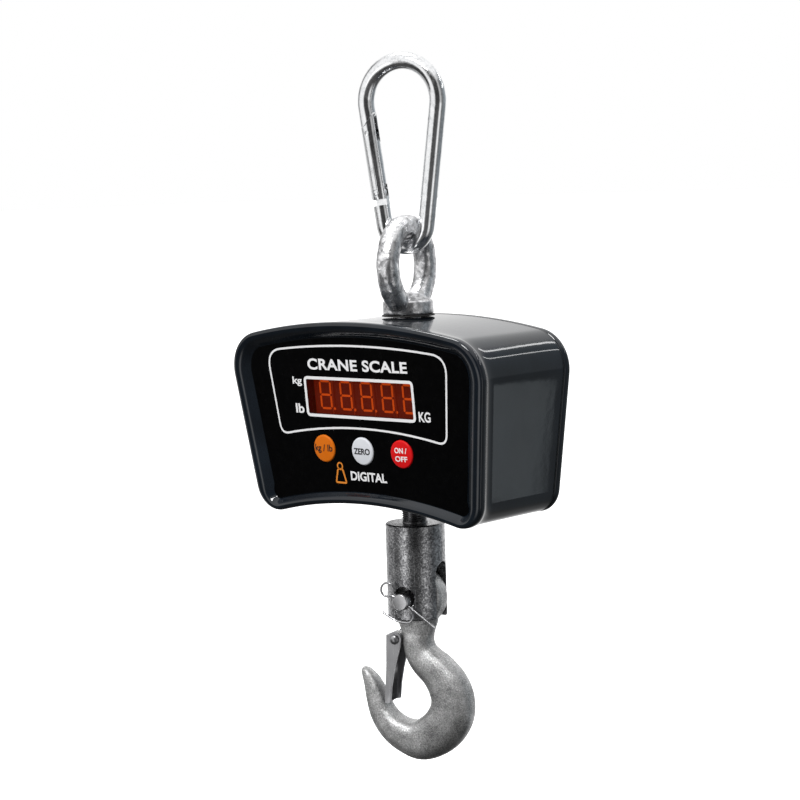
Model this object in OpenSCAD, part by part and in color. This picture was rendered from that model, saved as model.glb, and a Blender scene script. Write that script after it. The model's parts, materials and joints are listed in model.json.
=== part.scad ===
// Hanging crane scale: carabiner, eye bolt, tapered housing with display and
// keys, S-shaped load cell inside, swivel head and safety hook below.
// Millimetres. Z is up, the display faces -Y, the origin is the inside top of
// the carabiner, where the scale hangs.

/* [Carabiner] */
// diameter of the round carabiner wire
wire_d = 12; // [8:0.5:16]
// inside length from top bow to lower bow
cara_in = 116; // [90:1:160]
// centreline radius of the wide top bow
bow_top_r = 28; // [20:0.5:40]
// centreline radius of the narrow lower bow
bow_low_r = 16.5; // [14:0.5:24]
// turn of carabiner and hook plane about the vertical
hang_turn = 13; // [0:1:90]

/* [Eye bolt] */
// inside diameter of the ring
eye_in = 40; // [30:1:50]
// thickness of the forged ring
eye_wire = 16; // [10:0.5:20]
// diameter of the collar on the housing
collar_d = 36; // [26:1:44]
// height from collar base to ring top
eye_h = 70; // [55:1:90]
// size of the thread at both ends of the load cell
thread_d = 18; // [12:2:24]
// thread pitch
thread_p = 1.5; // [1:0.5:3]

/* [Housing] */
// half width at the widest place
half_w = 114.4; // [80:0.2:140]
// inward lean of the side walls towards the bottom, degrees
side_lean = 7.6; // [0:0.1:15]
// forward lean of the front panel, degrees
panel_lean = 5.5; // [0:0.5:12]
// distance of the panel in front of the hanging line
panel_y = 53.5; // [40:0.5:80]
// distance of the back face behind the hanging line
back_y = 37; // [30:0.5:60]
// housing height on the centre line
body_h = 127; // [100:1:180]
// radius of the arched top edge
top_r = 470; // [200:10:900]
// radius of the hollow bottom edge
low_r = 340; // [200:10:900]
// corner radius at the top
corner_top = 28; // [15:1:40]
// corner radius at the bottom
corner_low = 19; // [15:1:30]
// cast wall thickness
wall = 4; // [2.5:0.5:6]

/* [Display and keys] */
// width of the display window
win_w = 96.4; // [60:0.2:120]
// height of the display window
win_h = 25; // [15:0.5:40]
// height of the window centre above the panel centre
win_z = 21; // [10:0.5:40]
// sideways offset of window and digits
win_x = 1; // [0:0.1:10]
// depth of the digit faces behind the panel
digit_y = 6.3; // [3:0.1:8]
// spacing of the digits
digit_pitch = 19; // [15:0.5:25]
// diameter of a key
key_d = 19.4; // [12:0.2:26]
// spacing of the keys
key_pitch = 35.4; // [25:0.2:50]
// height of the key row, measured from the panel centre
key_z = -15.6; // [-30:0.2:0]

/* [Swivel and hook] */
// swivel head diameter
head_d = 42; // [34:1:60]
// swivel head length
head_len = 67.5; // [50:0.5:90]
// clear gap between collar base and swivel head top
head_drop = 147; // [140:0.5:200]
// width of the slot that takes the hook
slot_w = 16; // [10:0.5:24]
// diameter of the cross pin
pin_d = 12; // [8:0.5:16]
// diameter of the loose cross hole in the head
pin_hole_d = 16; // [12:0.5:20]
// radius of the hook eye
hook_eye_r = 21.5; // [16:0.5:26]
// thickness of the hook eye
hook_eye_t = 15; // [8:0.5:20]

/* [Hidden] */
$fn = 64;
wr = wire_d / 2;
ct_z = -(bow_top_r - wr);
cb_z = -cara_in + bow_low_r - wr;
leg_a = asin((bow_top_r - bow_low_r) / (ct_z - cb_z));
leg_len = (ct_z - cb_z) * cos(leg_a);
ring_r = (eye_in + eye_wire) / 2;
ring_z = -cara_in + 0.35 - eye_in / 2;
base_z = ring_z + eye_in / 2 + eye_wire - eye_h;
top_z = base_z - 1;
low_z = top_z - body_h;
mid_z = base_z - 75;
wide_z = base_z - 35;
lean_t = tan(panel_lean);
head_z = base_z - head_drop;
race_z = head_z - 13;
nut_z = race_z - 8.4;
pin_z = head_z - 53;
cell_h = 76;
cell_z = top_z - wall - 2 - cell_h;
socket_at = [-62, 0, -200];
latch_u = -15;
latch_z = -31;

// ---------- helpers ----------

function unit(v) = v / norm(v);

// Skin through closed sections that all have the same number of points.
module loft(secs, split = false) {
  n = len(secs[0]);
  m = len(secs);
  pts = [for (s = secs) for (p = s) p];
  sides = [for (i = [0 : m - 2]) for (j = [0 : n - 1])
    let (a = i * n + j, b = i * n + (j + 1) % n)
    each split ? [[a, b, b + n], [a, b + n, a + n]] : [[a, b, b + n, a + n]]];
  first = [for (j = [n - 1 : -1 : 0]) j];
  last = [for (j = [0 : n - 1]) (m - 1) * n + j];
  polyhedron(pts, concat([first], sides, [last]), convexity = 6);
}

// Round wire of radius r along a path; ref is a direction the path never takes.
module wire(path, r, ref, n = 10) {
  m = len(path);
  secs = [for (i = [0 : m - 1])
    let (
      t = unit(path[min(i + 1, m - 1)] - path[max(i - 1, 0)]),
      a = unit(cross(t, ref)),
      b = cross(a, t)
    )
    [for (j = [0 : n - 1]) path[i] + r * (cos(360 * j / n) * a + sin(360 * j / n) * b)]];
  loft(secs, true);
}

// Smooth curve through hand-set stations (any number of values each).
function curve(p, i, t) =
  let (
    n = len(p),
    a = p[max(i - 1, 0)],
    b = p[i],
    c = p[min(i + 1, n - 1)],
    d = p[min(i + 2, n - 1)]
  )
  b + 0.5 * t * ((c - a) + t * ((2 * a - 5 * b + 4 * c - d) + t * (3 * (b - c) + d - a)));
function smooth(p, k) =
  concat([for (i = [0 : len(p) - 2]) for (j = [0 : k - 1]) curve(p, i, j / k)], [p[len(p) - 1]]);

// Screw thread drawn as a stack of V rings, from z downwards.
module thread(d, p, z, length) {
  core = d / 2 - 0.6 * p;
  turns = floor(length / p);
  zig = [for (i = [0 : turns - 1]) for (k = [0 : 1])
    [k == 0 ? core : d / 2, z - length + (i + 0.5 * k) * p + (length - turns * p)]];
  translate([0, 0, 0])
    rotate_extrude()
      polygon(concat([[0, z - length], [core, z - length]], zig, [[core, z], [0, z]]));
}

module hex_nut(af, h) {
  cylinder(d = af / cos(30), h = h, $fn = 6);
}

module hang() {
  rotate([0, 0, hang_turn])
    children();
}

// Places children on the gate side leg: x points into the loop, z up the leg.
module on_leg() {
  hang()
    translate([-bow_top_r * cos(leg_a), 0, ct_z - bow_top_r * sin(leg_a)])
      rotate([0, -leg_a, 0])
        children();
}

// Places children on the leaning panel: x right, z up the panel, -y outwards.
module on_panel() {
  translate([0, -panel_y, mid_z])
    rotate([panel_lean, 0, 0])
      children();
}

// Places children at the cross pin: x in the hook plane, -y towards the pin end.
module at_pin() {
  hang()
    translate([0, 0, pin_z])
      children();
}

// ---------- housing outline ----------

side_n = [cos(side_lean), -sin(side_lean)];
side_t = [sin(side_lean), cos(side_lean)];
arc_t = [0, top_z - top_r];
arc_b = [0, low_z - low_r];
function corner(r, c, reach) =
  let (q = [half_w, wide_z] - r * side_n - c, k = q * side_t)
  c + q + side_t * (-k + sqrt(k * k - q * q + reach * reach));
cor_t = corner(corner_top, arc_t, top_r - corner_top);
cor_b = corner(corner_low, arc_b, low_r + corner_low);
ang_t = atan2(cor_t[1] - arc_t[1], cor_t[0] - arc_t[0]);
ang_b = atan2(cor_b[1] - arc_b[1], cor_b[0] - arc_b[0]);

function ray(c, r, a, s) =
  [c[0] + r * cos(a), c[1] + r * sin(a), s * cos(a), s * sin(a)];
half_line = concat(
  [for (i = [0 : 6]) ray(arc_b, low_r, 90 + (ang_b - 90) * i / 7, -1)],
  [for (i = [0 : 7]) ray(cor_b, corner_low, (ang_b - 180) * (1 - i / 7) - side_lean * i / 7, 1)],
  [for (i = [0 : 8]) ray(cor_t, corner_top, -side_lean * (1 - i / 8) + ang_t * i / 8, 1)],
  [for (i = [1 : 7]) ray(arc_t, top_r, ang_t + (90 - ang_t) * i / 7, 1)]);
whole_line = concat(half_line,
  [for (i = [len(half_line) - 2 : -1 : 1])
    [-half_line[i][0], half_line[i][1], -half_line[i][2], half_line[i][3]]]);

// The rim is widest at the sides and narrowest along the bottom.
board_x = [-56, 56];
board_z = [-26, 37];
strap_x = [33.2, 93];
function rim_f(nz, even) = even ? 1 : 1 - (nz < 0 ? 0.42 : 0.26) * nz * nz;
// One section: inset d, depth y, share s of the forward lean, side waist w.
function section(d, y, s, even = true, w = 0) = [for (q = whole_line)
  let (k = d * rim_f(q[3], even) + w * q[2] * q[2], z = q[1] - k * q[3])
  [q[0] - k * q[2], y - s * lean_t * (z - mid_z), z]];

// Six screw places just inside the wall: lower corners, sides, upper corners.
side_mid = (half_line[14] + half_line[15]) / 2;
post_at = [for (s = [-1, 1]) for (q = [half_line[11], side_mid, half_line[19]])
  [s * (q[0] - 9.4 * q[2]), q[1] - 9.4 * q[3]]];
module housing_posts(d, y0, y1) {
  for (p = post_at)
    translate([p[0], y1, p[1]])
      rotate([90, 0, 0])
        cylinder(d = d, h = y1 - y0, $fn = 32);
}

// ---------- carabiner ----------

function on_bow(r, z, a) = [r * cos(a), 0, z + r * sin(a)];
leg_dir = [sin(leg_a), 0, -cos(leg_a)];
frame_path = concat(
  [on_bow(bow_top_r, ct_z, 180 + leg_a) + 12.4 * leg_dir],
  [for (i = [0 : 22]) on_bow(bow_top_r, ct_z, (180 + leg_a) * (1 - i / 22) - leg_a * i / 22)],
  [for (i = [0 : 16]) on_bow(bow_low_r, cb_z, -leg_a - (180 - 2 * leg_a) * i / 16)],
  [on_bow(bow_top_r, ct_z, 180 + leg_a) + 68.4 * leg_dir]);

// Wedge that parts the frame's nose from the fork of the gate.
module nose_cut() {
  on_leg()
    translate([-1.6, -wr - 1, -13])
      rotate([0, 38, 0])
        cube([20, wire_d + 2, 12]);
}

module carabiner_frame() {
  color([0.80, 0.82, 0.84])
  difference() {
    union() {
      difference() {
        hang()
          wire(frame_path, wr, [0, 1, 0], 28);
        nose_cut();
      }
      on_leg()
        translate([-4.4, -2, -21])
          cube([8.6, 4, 20]);
      on_leg()
        translate([-2.6, -2.1, -74])
          cube([8.2, 4.2, 11.5]);
      on_leg()
        translate([0, 2.1, -59.2])
          rotate([90, 0, 0])
            cylinder(r = 4.9, h = 4.2);
    }
    on_leg()
      translate([0, 3, -17.2])
        rotate([90, 0, 0])
          cylinder(r = 2, h = 6);
    on_leg()
      translate([0, -3, -19.2])
        cube([8, 6, 4]);
    on_leg()
      translate([0, 10, -59.2])
        rotate([90, 0, 0])
          cylinder(r = 2.03, h = 20);
  }
}

module gate_pivot_rivet() {
  color([0.84, 0.85, 0.86])
  on_leg()
    translate([0, 0, -59.2])
      rotate([90, 0, 0])
        union() {
          cylinder(r = 2, h = 11.4, center = true);
          for (s = [-1, 1])
            translate([0, 0, s * 5.95])
              cylinder(r1 = s > 0 ? 2 : 1.5, r2 = s > 0 ? 1.5 : 2, h = 0.5, center = true);
        }
}

module carabiner_gate() {
  color([0.83, 0.84, 0.86])
  on_leg()
    difference() {
      union() {
        translate([0, 0, -64.1])
          cylinder(r = wr, h = 51.4);
        intersection() {
          translate([0, 0, -14])
            cylinder(r = wr, h = 12);
          translate([-1.1, -wr - 1, -13.2])
            rotate([0, 38, 0])
              cube([20, wire_d + 2, 11]);
        }
      }
      translate([-8, -2.35, -24])
        cube([16, 4.7, 30]);
      translate([-8, -2.45, -70])
        cube([16, 4.9, 16.4]);
      translate([0, 0, -56])
        cylinder(r = 2.6, h = 22);
      translate([0, 10, -59.2])
        rotate([90, 0, 0])
          cylinder(r = 2.08, h = 20);
      translate([0, 10, -17.2])
        rotate([90, 0, 0])
          cylinder(r = 1.5, h = 20);
    }
}

module gate_catch_pin() {
  color([0.75, 0.76, 0.78])
  on_leg()
    translate([0, 0, -17.2])
      rotate([90, 0, 0])
        cylinder(r = 1.48, h = 10.6, center = true);
}

module gate_spring() {
  color([0.62, 0.63, 0.65])
  on_leg()
    wire([for (i = [0 : 84]) [1.9 * cos(i * 30), 1.9 * sin(i * 30), -48.5 + i * 14.0 / 84]],
      0.35, [0, 0, 1], 6);
}

module gate_plunger() {
  color([0.7, 0.71, 0.72])
  on_leg()
    translate([0, 0, -53.9])
      union() {
        cylinder(r = 2.5, h = 4.6);
        translate([0, 0, 4.6])
          cylinder(r = 1.3, h = 3);
      }
}

// ---------- eye bolt ----------

module eye_bolt() {
  color([0.72, 0.73, 0.74])
  difference() {
    union() {
      difference() {
        hang()
          translate([0, 0, ring_z])
            rotate([0, 90, 0])
              rotate_extrude()
                translate([ring_r, 0])
                  circle(d = eye_wire);
        translate([-40, -40, base_z - 20])
          cube([80, 80, 20.6]);
      }
      translate([0, 0, base_z])
        cylinder(d = collar_d - 1.2, h = 0.7);
      translate([0, 0, base_z + 0.6])
        cylinder(d = collar_d, h = 8.6);
      translate([0, 0, base_z + 9.2])
        cylinder(d1 = collar_d, d2 = collar_d - 5, h = 1.6);
      translate([0, 0, base_z + 10])
        cylinder(d1 = collar_d - 7, d2 = 18, h = 4.5);
      translate([0, 0, base_z - 8])
        cylinder(d = thread_d - 0.2, h = 9);
      thread(thread_d - 0.1, thread_p, base_z - 7.5, 20);
    }
    hang()
      translate([0, 0, ring_z])
        rotate([0, 90, 0])
          cylinder(d = eye_in - 0.01, h = 3, center = true);
  }
}

module eye_seal() {
  color([0.05, 0.05, 0.05])
  translate([0, 0, top_z])
    difference() {
      cylinder(d = collar_d + 1, h = 1);
      translate([0, 0, -1])
        cylinder(d = thread_d + 0.6, h = 4);
    }
}

// ---------- housing ----------

module housing() {
  color([0.10, 0.11, 0.13])
  difference() {
    union() {
      difference() {
        loft([
          section(14, -panel_y, 1, false),
          section(8.4, -panel_y - 4, 1, false),
          section(6.6, -panel_y - 4.8, 1, false),
          section(3.0, -panel_y - 5, 1, false),
          section(1.0, -panel_y - 4.2, 1, false),
          section(0.2, -panel_y - 2.9, 1, false),
          section(0, -panel_y - 1, 1),
          section(0, -panel_y + 4, 1),
          section(0.2, -panel_y + 5.4, 1, true, 0.4),
          section(0.5, -panel_y + 6.8, 1, true, 1.2),
          section(0.6, -panel_y + 9, 1, true, 1.6),
          section(0.8, -panel_y + 16, 0.9, true, 1.8),
          section(0.8, -22, 0.55, true, 2),
          section(0.8, 5, 0.15, true, 2),
          section(0.7, back_y - 9, 0, true, 1.7),
          section(0.6, back_y - 7, 0, true, 1.5)]);
        loft([
          section(wall + 0.8, -panel_y + wall, 1, true, 2),
          section(wall + 0.8, -30, 0.65, true, 2),
          section(wall + 0.8, 5, 0.15, true, 2),
          section(wall + 0.8, back_y - 6, 0, true, 2)]);
      }
      intersection() {
        housing_posts(10, -30, back_y - 7);
        loft([
          section(3.5, -40, 0.8),
          section(3.5, back_y - 7, 0)]);
      }
      // seat of the eye bolt and stop for the load cell
      translate([0, 0, cell_z + cell_h])
        cylinder(d = collar_d + 4, h = wall + 2);
      // bosses for the display board
      on_panel()
        for (x = board_x)
          for (z = board_z)
            translate([x, 12.4, z])
              rotate([90, 0, 0])
                cylinder(d = 6, h = 9.4, $fn = 32);
    }
    translate([0, 0, top_z - 12])
      cylinder(d = thread_d + 0.8, h = 20);
    on_panel()
      for (x = board_x)
        for (z = board_z)
          translate([x, 13, z])
            rotate([90, 0, 0])
              cylinder(d = 2.5, h = 8, $fn = 24);
    translate([0, 0, low_z - 8])
      cylinder(d = thread_d + 10, h = 20);
    housing_posts(3.3, back_y - 24, back_y);
    on_panel()
      translate([win_x - win_w / 2, -3, win_z - win_h / 2])
        cube([win_w, 12, win_h]);
    on_panel()
      for (i = [-1 : 1])
        translate([i * key_pitch, 10, key_z])
          rotate([90, 0, 0])
            cylinder(d = key_d + 0.8, h = 20);
  }
}

module front_overlay() {
  color([0.02, 0.02, 0.025])
  difference() {
    loft([
      section(14.6, -panel_y - 0.4, 1, false),
      section(14.6, -panel_y, 1, false)]);
    on_panel()
      translate([win_x - win_w / 2, -3, win_z - win_h / 2])
        cube([win_w, 6, win_h]);
    on_panel()
      for (i = [-1 : 1])
        translate([i * key_pitch, 10, key_z])
          rotate([90, 0, 0])
            cylinder(d = key_d + 0.8, h = 20);
  }
}

module display_window() {
  color([0.60, 0.13, 0.03])
  on_panel()
    translate([win_x - win_w / 2 + 0.1, -0.2, win_z - win_h / 2 + 0.1])
      cube([win_w - 0.2, 2.4, win_h - 0.2]);
}

module display_digits() {
  color([0.30, 0.06, 0.03])
  on_panel()
    for (i = [-2 : 2])
      translate([win_x + i * digit_pitch - 9.2, digit_y, win_z - 13.8])
        difference() {
          cube([18.4, 12.4 - digit_y, 27.6]);
          translate([1, 2, 1])
            cube([16.4, 8, 25.6]);
        }
}

module display_board() {
  color([0.05, 0.28, 0.16])
  on_panel()
    difference() {
      translate([-60, 12.45, -30])
        cube([120, 1.6, 71]);
      for (x = board_x)
        for (z = board_z)
          translate([x, 20, z])
            rotate([90, 0, 0])
              cylinder(d = 3.2, h = 12, $fn = 24);
    }
}

module display_screws() {
  color([0.75, 0.75, 0.76])
  on_panel()
    for (x = board_x)
      for (z = board_z)
        translate([x, 14.1, z])
          rotate([-90, 0, 0])
            union() {
              translate([0, 0, -8])
                cylinder(d = 2.45, h = 8.1, $fn = 24);
              cylinder(d = 5, h = 1.8, $fn = 32);
            }
}

module key_switches() {
  color([0.12, 0.12, 0.12])
  on_panel()
    for (i = [-1 : 1])
      translate([i * key_pitch, 12.4, key_z])
        union() {
          translate([-3, -3.6, -3])
            cube([6, 3.6, 6]);
          rotate([90, 0, 0])
            cylinder(d = 3.4, h = 4.9, $fn = 32);
        }
}

// Domed cap, stem and flange; the dome stands just proud of the panel.
module key_cap() {
  rotate([90, 0, 0])
    rotate_extrude()
      polygon(concat(
        [[0, -6.6], [2.5, -6.6], [2.5, -6.0], [11.2, -6.0], [11.2, -4.5], [key_d / 2, -4.5]],
        [[key_d / 2, 0.5]],
        [for (i = [1 : 5]) [key_d / 2 - 1.4 * (1 - cos(15 * i)), 0.5 + 0.9 * sin(15 * i)]],
        [for (i = [1 : 5]) [(key_d / 2 - 1.5) * (1 - i / 5), 1.4 + 0.35 * (1 - pow(1 - i / 5, 2))]]));
}

module unit_key() {
  color([0.88, 0.47, 0.04])
  on_panel()
    translate([-key_pitch, 0, key_z])
      key_cap();
}

module zero_key() {
  color([0.86, 0.87, 0.90])
  on_panel()
    translate([0, 0, key_z])
      key_cap();
}

module power_key() {
  color([0.80, 0.03, 0.04])
  on_panel()
    translate([key_pitch, 0, key_z])
      key_cap();
}

// ---------- inside ----------

module load_cell() {
  h = cell_h;
  color([0.66, 0.67, 0.69])
  translate([0, 0, cell_z])
    difference() {
      translate([-25.5, -12.7, 0])
        cube([51, 25.4, h]);
      translate([-26, -14, h - 25])
        cube([43, 28, 2.4]);
      translate([17, 14, h - 23.8])
        rotate([90, 0, 0])
          cylinder(d = 5, h = 28, $fn = 32);
      translate([-17, -14, 22.6])
        cube([43, 28, 2.4]);
      translate([-17, 14, 23.8])
        rotate([90, 0, 0])
          cylinder(d = 5, h = 28, $fn = 32);
      translate([0, 14, h / 2])
        rotate([90, 0, 0])
          cylinder(d = 20, h = 10);
      translate([0, -4, h / 2])
        rotate([90, 0, 0])
          cylinder(d = 20, h = 10);
      translate([0, 0, h - 23])
        cylinder(d = thread_d + 0.1, h = 30);
      translate([0, 0, -5])
        cylinder(d = thread_d + 0.1, h = 25);
    }
}

module load_cell_lead() {
  color([0.45, 0.46, 0.47])
  wire(smooth([
    [-25.7, 0, -215], [-29.5, 0, -215], [-34, 2, -217], [-38.5, 7, -221.5],
    [-43, 11.5, -227], [-45.4, 15.5, -230], [-46, 20.8, -230.6]], 4),
    1.8, [0, 0.2, 1]);
}

module main_board() {
  color([0.05, 0.30, 0.17])
  difference() {
    translate([-88, 21, -286])
      cube([54, 1.6, 78]);
    for (x = [-84, -38])
      for (z = [-281, -213])
        translate([x, 30, z])
          rotate([90, 0, 0])
            cylinder(d = 3.2, h = 20, $fn = 24);
  }
}

module board_standoffs() {
  color([0.78, 0.68, 0.36])
  for (x = [-84, -38])
    for (z = [-281, -213])
      translate([x, back_y - 4.65, z])
        rotate([90, 0, 0])
          difference() {
            union() {
              translate([0, 0, -2.3])
                cylinder(d = 2.95, h = 3, $fn = 24);
              cylinder(d = 6.35, h = 9.7, $fn = 6);
            }
            translate([0, 0, 1.5])
              cylinder(d = 3.1, h = 10, $fn = 24);
          }
}

module board_screws() {
  color([0.75, 0.75, 0.76])
  for (x = [-84, -38])
    for (z = [-281, -213])
      translate([x, 21, z])
        rotate([90, 0, 0])
          union() {
            translate([0, 0, -5.4])
              cylinder(d = 2.9, h = 5.6, $fn = 24);
            difference() {
              cylinder(d = 5.5, h = 2, $fn = 32);
              translate([-2, -0.4, 1.2])
                cube([4, 0.8, 1]);
              translate([-0.4, -2, 1.2])
                cube([0.8, 4, 1]);
            }
          }
}

module battery() {
  color([0.16, 0.17, 0.19])
  union() {
    translate([40, -15, -288])
      cube([47, 47, 94]);
    translate([43, -12, -194.5])
      cube([41, 41, 2.5]);
    for (y = [-7, 18])
      translate([50, y, -192.5])
        cube([6.3, 0.8, 6.5]);
  }
}

// Strap round the battery, fixed to the cover at both sides.
module battery_bracket() {
  color([0.55, 0.56, 0.58])
  translate([0, 0, -249])
    difference() {
      union() {
        translate([38.3, -16.7, 0])
          cube([50.4, 1.5, 16]);
        for (x = [38.3, 87.2])
          translate([x, -16.7, 0])
            cube([1.5, back_y - 4.65 + 16.7, 16]);
        for (x = [30, 87.2])
          translate([x, back_y - 6.15, 0])
            cube([9.8, 1.5, 16]);
      }
      for (x = strap_x)
        translate([x, back_y, 8])
          rotate([90, 0, 0])
            cylinder(d = 3.2, h = 12, $fn = 24);
    }
}

module bracket_screws() {
  color([0.75, 0.75, 0.76])
  for (x = strap_x)
    translate([x, back_y - 6.2, -241])
      rotate([90, 0, 0])
        union() {
          translate([0, 0, -3.9])
            cylinder(d = 2.95, h = 4.1, $fn = 24);
          cylinder(d = 5.2, h = 1.8, $fn = 32);
        }
}

module battery_leads() {
  color([0.70, 0.08, 0.06])
  for (k = [0, 1])
    wire(smooth([
      [53, -5 + 25 * k, -186], [51, -3 + 23 * k, -184.2], [40, 13 + 8 * k, -182.6],
      [24, 18 + 6 * k, -181.8], [-4, 18 + 6 * k, -181.8], [-24, 17 + 5 * k, -184.5],
      [-38, 12 + 6 * k, -192],
      [-46 - 4 * k, 10 + 4 * k, -202], [-49 - 5 * k, 16, -211], [-50 - 5 * k, 20.6, -212.4]], 4),
      1.1, [0, 0.3, 1], 8);
}

module rear_gasket() {
  color([0.06, 0.06, 0.06])
  translate([0, back_y - 6.2, 0])
    rotate([90, 0, 0])
      linear_extrude(height = 0.8)
        difference() {
          polygon([for (p = section(0.9, 0, 0, true, 1.4)) [p[0], p[2]]]);
          polygon([for (p = section(3.6, 0, 0, true, 2)) [p[0], p[2]]]);
        }
}

module rear_cover() {
  color([0.11, 0.12, 0.14])
  difference() {
    loft([
      section(0.8, back_y - 6.2, 0, true, 1),
      section(0.2, back_y - 5.6, 0, true, 0.2),
      section(0, back_y - 4.8, 0),
      section(0, back_y - 3, 0),
      section(0.6, back_y - 1.4, 0),
      section(2.0, back_y - 0.3, 0),
      section(3.4, back_y, 0),
      section(15, back_y, 0),
      section(16.5, back_y - 1, 0)]);
    loft([
      section(4.8, back_y - 9, 0, true, 2),
      section(4.8, back_y - 4.6, 0, true, 2)]);
    for (x = [-84, -38])
      for (z = [-281, -213])
        translate([x, back_y - 1.9, z])
          rotate([90, 0, 0])
            cylinder(d = 3, h = 10, $fn = 24);
    for (x = strap_x)
      translate([x, back_y - 1.9, -241])
        rotate([90, 0, 0])
          cylinder(d = 3, h = 10, $fn = 24);
    housing_posts(4.5, back_y - 10, back_y + 2);
    housing_posts(8.4, back_y - 3.2, back_y + 2);
    translate([socket_at[0], back_y + 3, socket_at[2]])
      rotate([90, 0, 0])
        cylinder(d = 12.1, h = 20);
  }
}

module rear_screws() {
  color([0.72, 0.73, 0.74])
  for (p = post_at)
    translate([p[0], back_y - 3.2, p[1]])
      rotate([-90, 0, 0])
        difference() {
          union() {
            translate([0, 0, -16])
              cylinder(d = 3.2, h = 16.1, $fn = 32);
            cylinder(d = 7.6, h = 2.4, $fn = 40);
          }
          translate([0, 0, 1])
            cylinder(d = 3.4, h = 2, $fn = 6);
        }
}

// Round charging socket; the centre contact is a pin in an open bore.
module charge_socket() {
  color([0.14, 0.14, 0.15])
  translate([socket_at[0], back_y - 1, socket_at[2]])
    rotate([-90, 0, 0])
      difference() {
        union() {
          translate([0, 0, -17])
            cylinder(d = 11.9, h = 17.5);
          translate([0, 0, 0.02])
            cylinder(d = 15, h = 1);
        }
        difference() {
          translate([0, 0, -11])
            cylinder(d = 5.6, h = 13);
          translate([0, 0, -12])
            cylinder(d = 2.1, h = 10.9);
        }
      }
}

module socket_nut() {
  color([0.7, 0.71, 0.72])
  translate([socket_at[0], back_y - 4.7, socket_at[2]])
    rotate([90, 0, 0])
      difference() {
        hex_nut(15, 2.5);
        translate([0, 0, -1])
          cylinder(d = 12, h = 6);
      }
}

// ---------- lower load line ----------

module lower_stud() {
  color([0.50, 0.51, 0.52])
  difference() {
    union() {
      translate([0, 0, race_z - 1])
        cylinder(d = thread_d, h = 14.4);
      thread(thread_d, thread_p, low_z + 8, low_z + 8 - head_z - 0.3);
      translate([0, 0, low_z + 7])
        cylinder(d = thread_d, h = 55);
      thread(thread_d - 0.6, thread_p, race_z - 0.8, 16.4);
    }
    hang()
      translate([0, 0, nut_z - 5])
        rotate([0, 90, 0])
          cylinder(d = 3.1, h = 40, center = true, $fn = 24);
  }
}

module stud_lock_nut() {
  color([0.55, 0.56, 0.57])
  translate([0, 0, cell_z - 9.2])
    difference() {
      intersection() {
        hex_nut(27, 9);
        translate([0, 0, -6.2])
          cylinder(r1 = 11.5, r2 = 21, h = 15.2);
      }
      translate([0, 0, -1])
        cylinder(d = thread_d + 0.1, h = 12);
    }
}

// Soft ring that closes the gap between stud and housing.
module bottom_seal() {
  color([0.05, 0.05, 0.05])
  translate([0, 0, low_z - 1.6])
    difference() {
      union() {
        cylinder(d = thread_d + 9.8, h = 6);
        cylinder(d = thread_d + 12.5, h = 1.2);
      }
      translate([0, 0, -1])
        cylinder(d = thread_d + 0.6, h = 9);
    }
}

module swivel_head() {
  color([0.42, 0.42, 0.43])
  difference() {
    union() {
      translate([0, 0, head_z - head_len + 1])
        cylinder(d = head_d, h = head_len - 1.8);
      translate([0, 0, head_z - 0.8])
        cylinder(d1 = head_d, d2 = head_d - 1.6, h = 0.8);
      translate([0, 0, head_z - head_len])
        cylinder(d1 = head_d - 2, d2 = head_d, h = 1);
    }
    translate([0, 0, head_z - 40])
      cylinder(d = thread_d + 0.1, h = 60);
    translate([0, 0, head_z - head_len - 10])
      cylinder(d = 30.4, h = head_len + 10 - 13);
    hang()
      translate([0, 0, head_z - 35.2])
        rotate([0, 90, 0])
          cylinder(d = slot_w, h = 60, center = true);
    hang()
      translate([-30, -slot_w / 2, head_z - 100])
        cube([60, slot_w, 64.8]);
    at_pin()
      translate([0, 30, (pin_hole_d - pin_d) / 2 - 0.02])
        rotate([90, 0, 0])
          cylinder(d = pin_hole_d, h = 60);
  }
}

module race(z, h, hole) {
  translate([0, 0, z])
    difference() {
      cylinder(d = 29.2, h = h);
      translate([0, 0, -1])
        cylinder(d = hole, h = h + 2);
    }
}

module bearing_upper_race() {
  color([0.70, 0.71, 0.73])
  race(race_z - 2.2, 2.2, thread_d + 1.2);
}

module bearing_lower_race() {
  color([0.70, 0.71, 0.73])
  race(race_z - 8.4, 2.1, thread_d + 0.1);
}

module bearing_balls() {
  color([0.80, 0.81, 0.83])
  for (i = [0 : 13])
    rotate([0, 0, i * 360 / 14])
      translate([12, 0, race_z - 4.25])
        sphere(d = 4, $fn = 20);
}

module swivel_nut() {
  color([0.58, 0.59, 0.60])
  difference() {
    translate([0, 0, nut_z - 9])
      cylinder(d = 28, h = 9);
    translate([0, 0, nut_z - 12])
      cylinder(d = thread_d + 0.1, h = 16);
    hang()
      translate([0, 0, nut_z - 5])
        rotate([0, 90, 0])
          cylinder(d = 3.1, h = 40, center = true, $fn = 24);
  }
}

module nut_pin() {
  color([0.65, 0.66, 0.67])
  hang()
    translate([0, 0, nut_z - 5])
      rotate([0, 90, 0])
        cylinder(d = 3, h = 26.5, center = true, $fn = 32);
}

module cross_pin() {
  color([0.52, 0.52, 0.53])
  at_pin()
    difference() {
      union() {
        translate([0, 21.3, 0])
          rotate([90, 0, 0])
            cylinder(d = pin_d, h = 47.5);
        translate([0, -26.2, 0])
          rotate([90, 0, 0])
            cylinder(d1 = pin_d, d2 = pin_d - 1.6, h = 0.8);
        translate([0, 24.6, 0])
          rotate([90, 0, 0])
            cylinder(d = 19, h = 3.4);
      }
      translate([0, -23.6, 0])
        rotate([0, 125, 0])
          cylinder(d = 3.4, h = 30, center = true, $fn = 32);
    }
}

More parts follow.
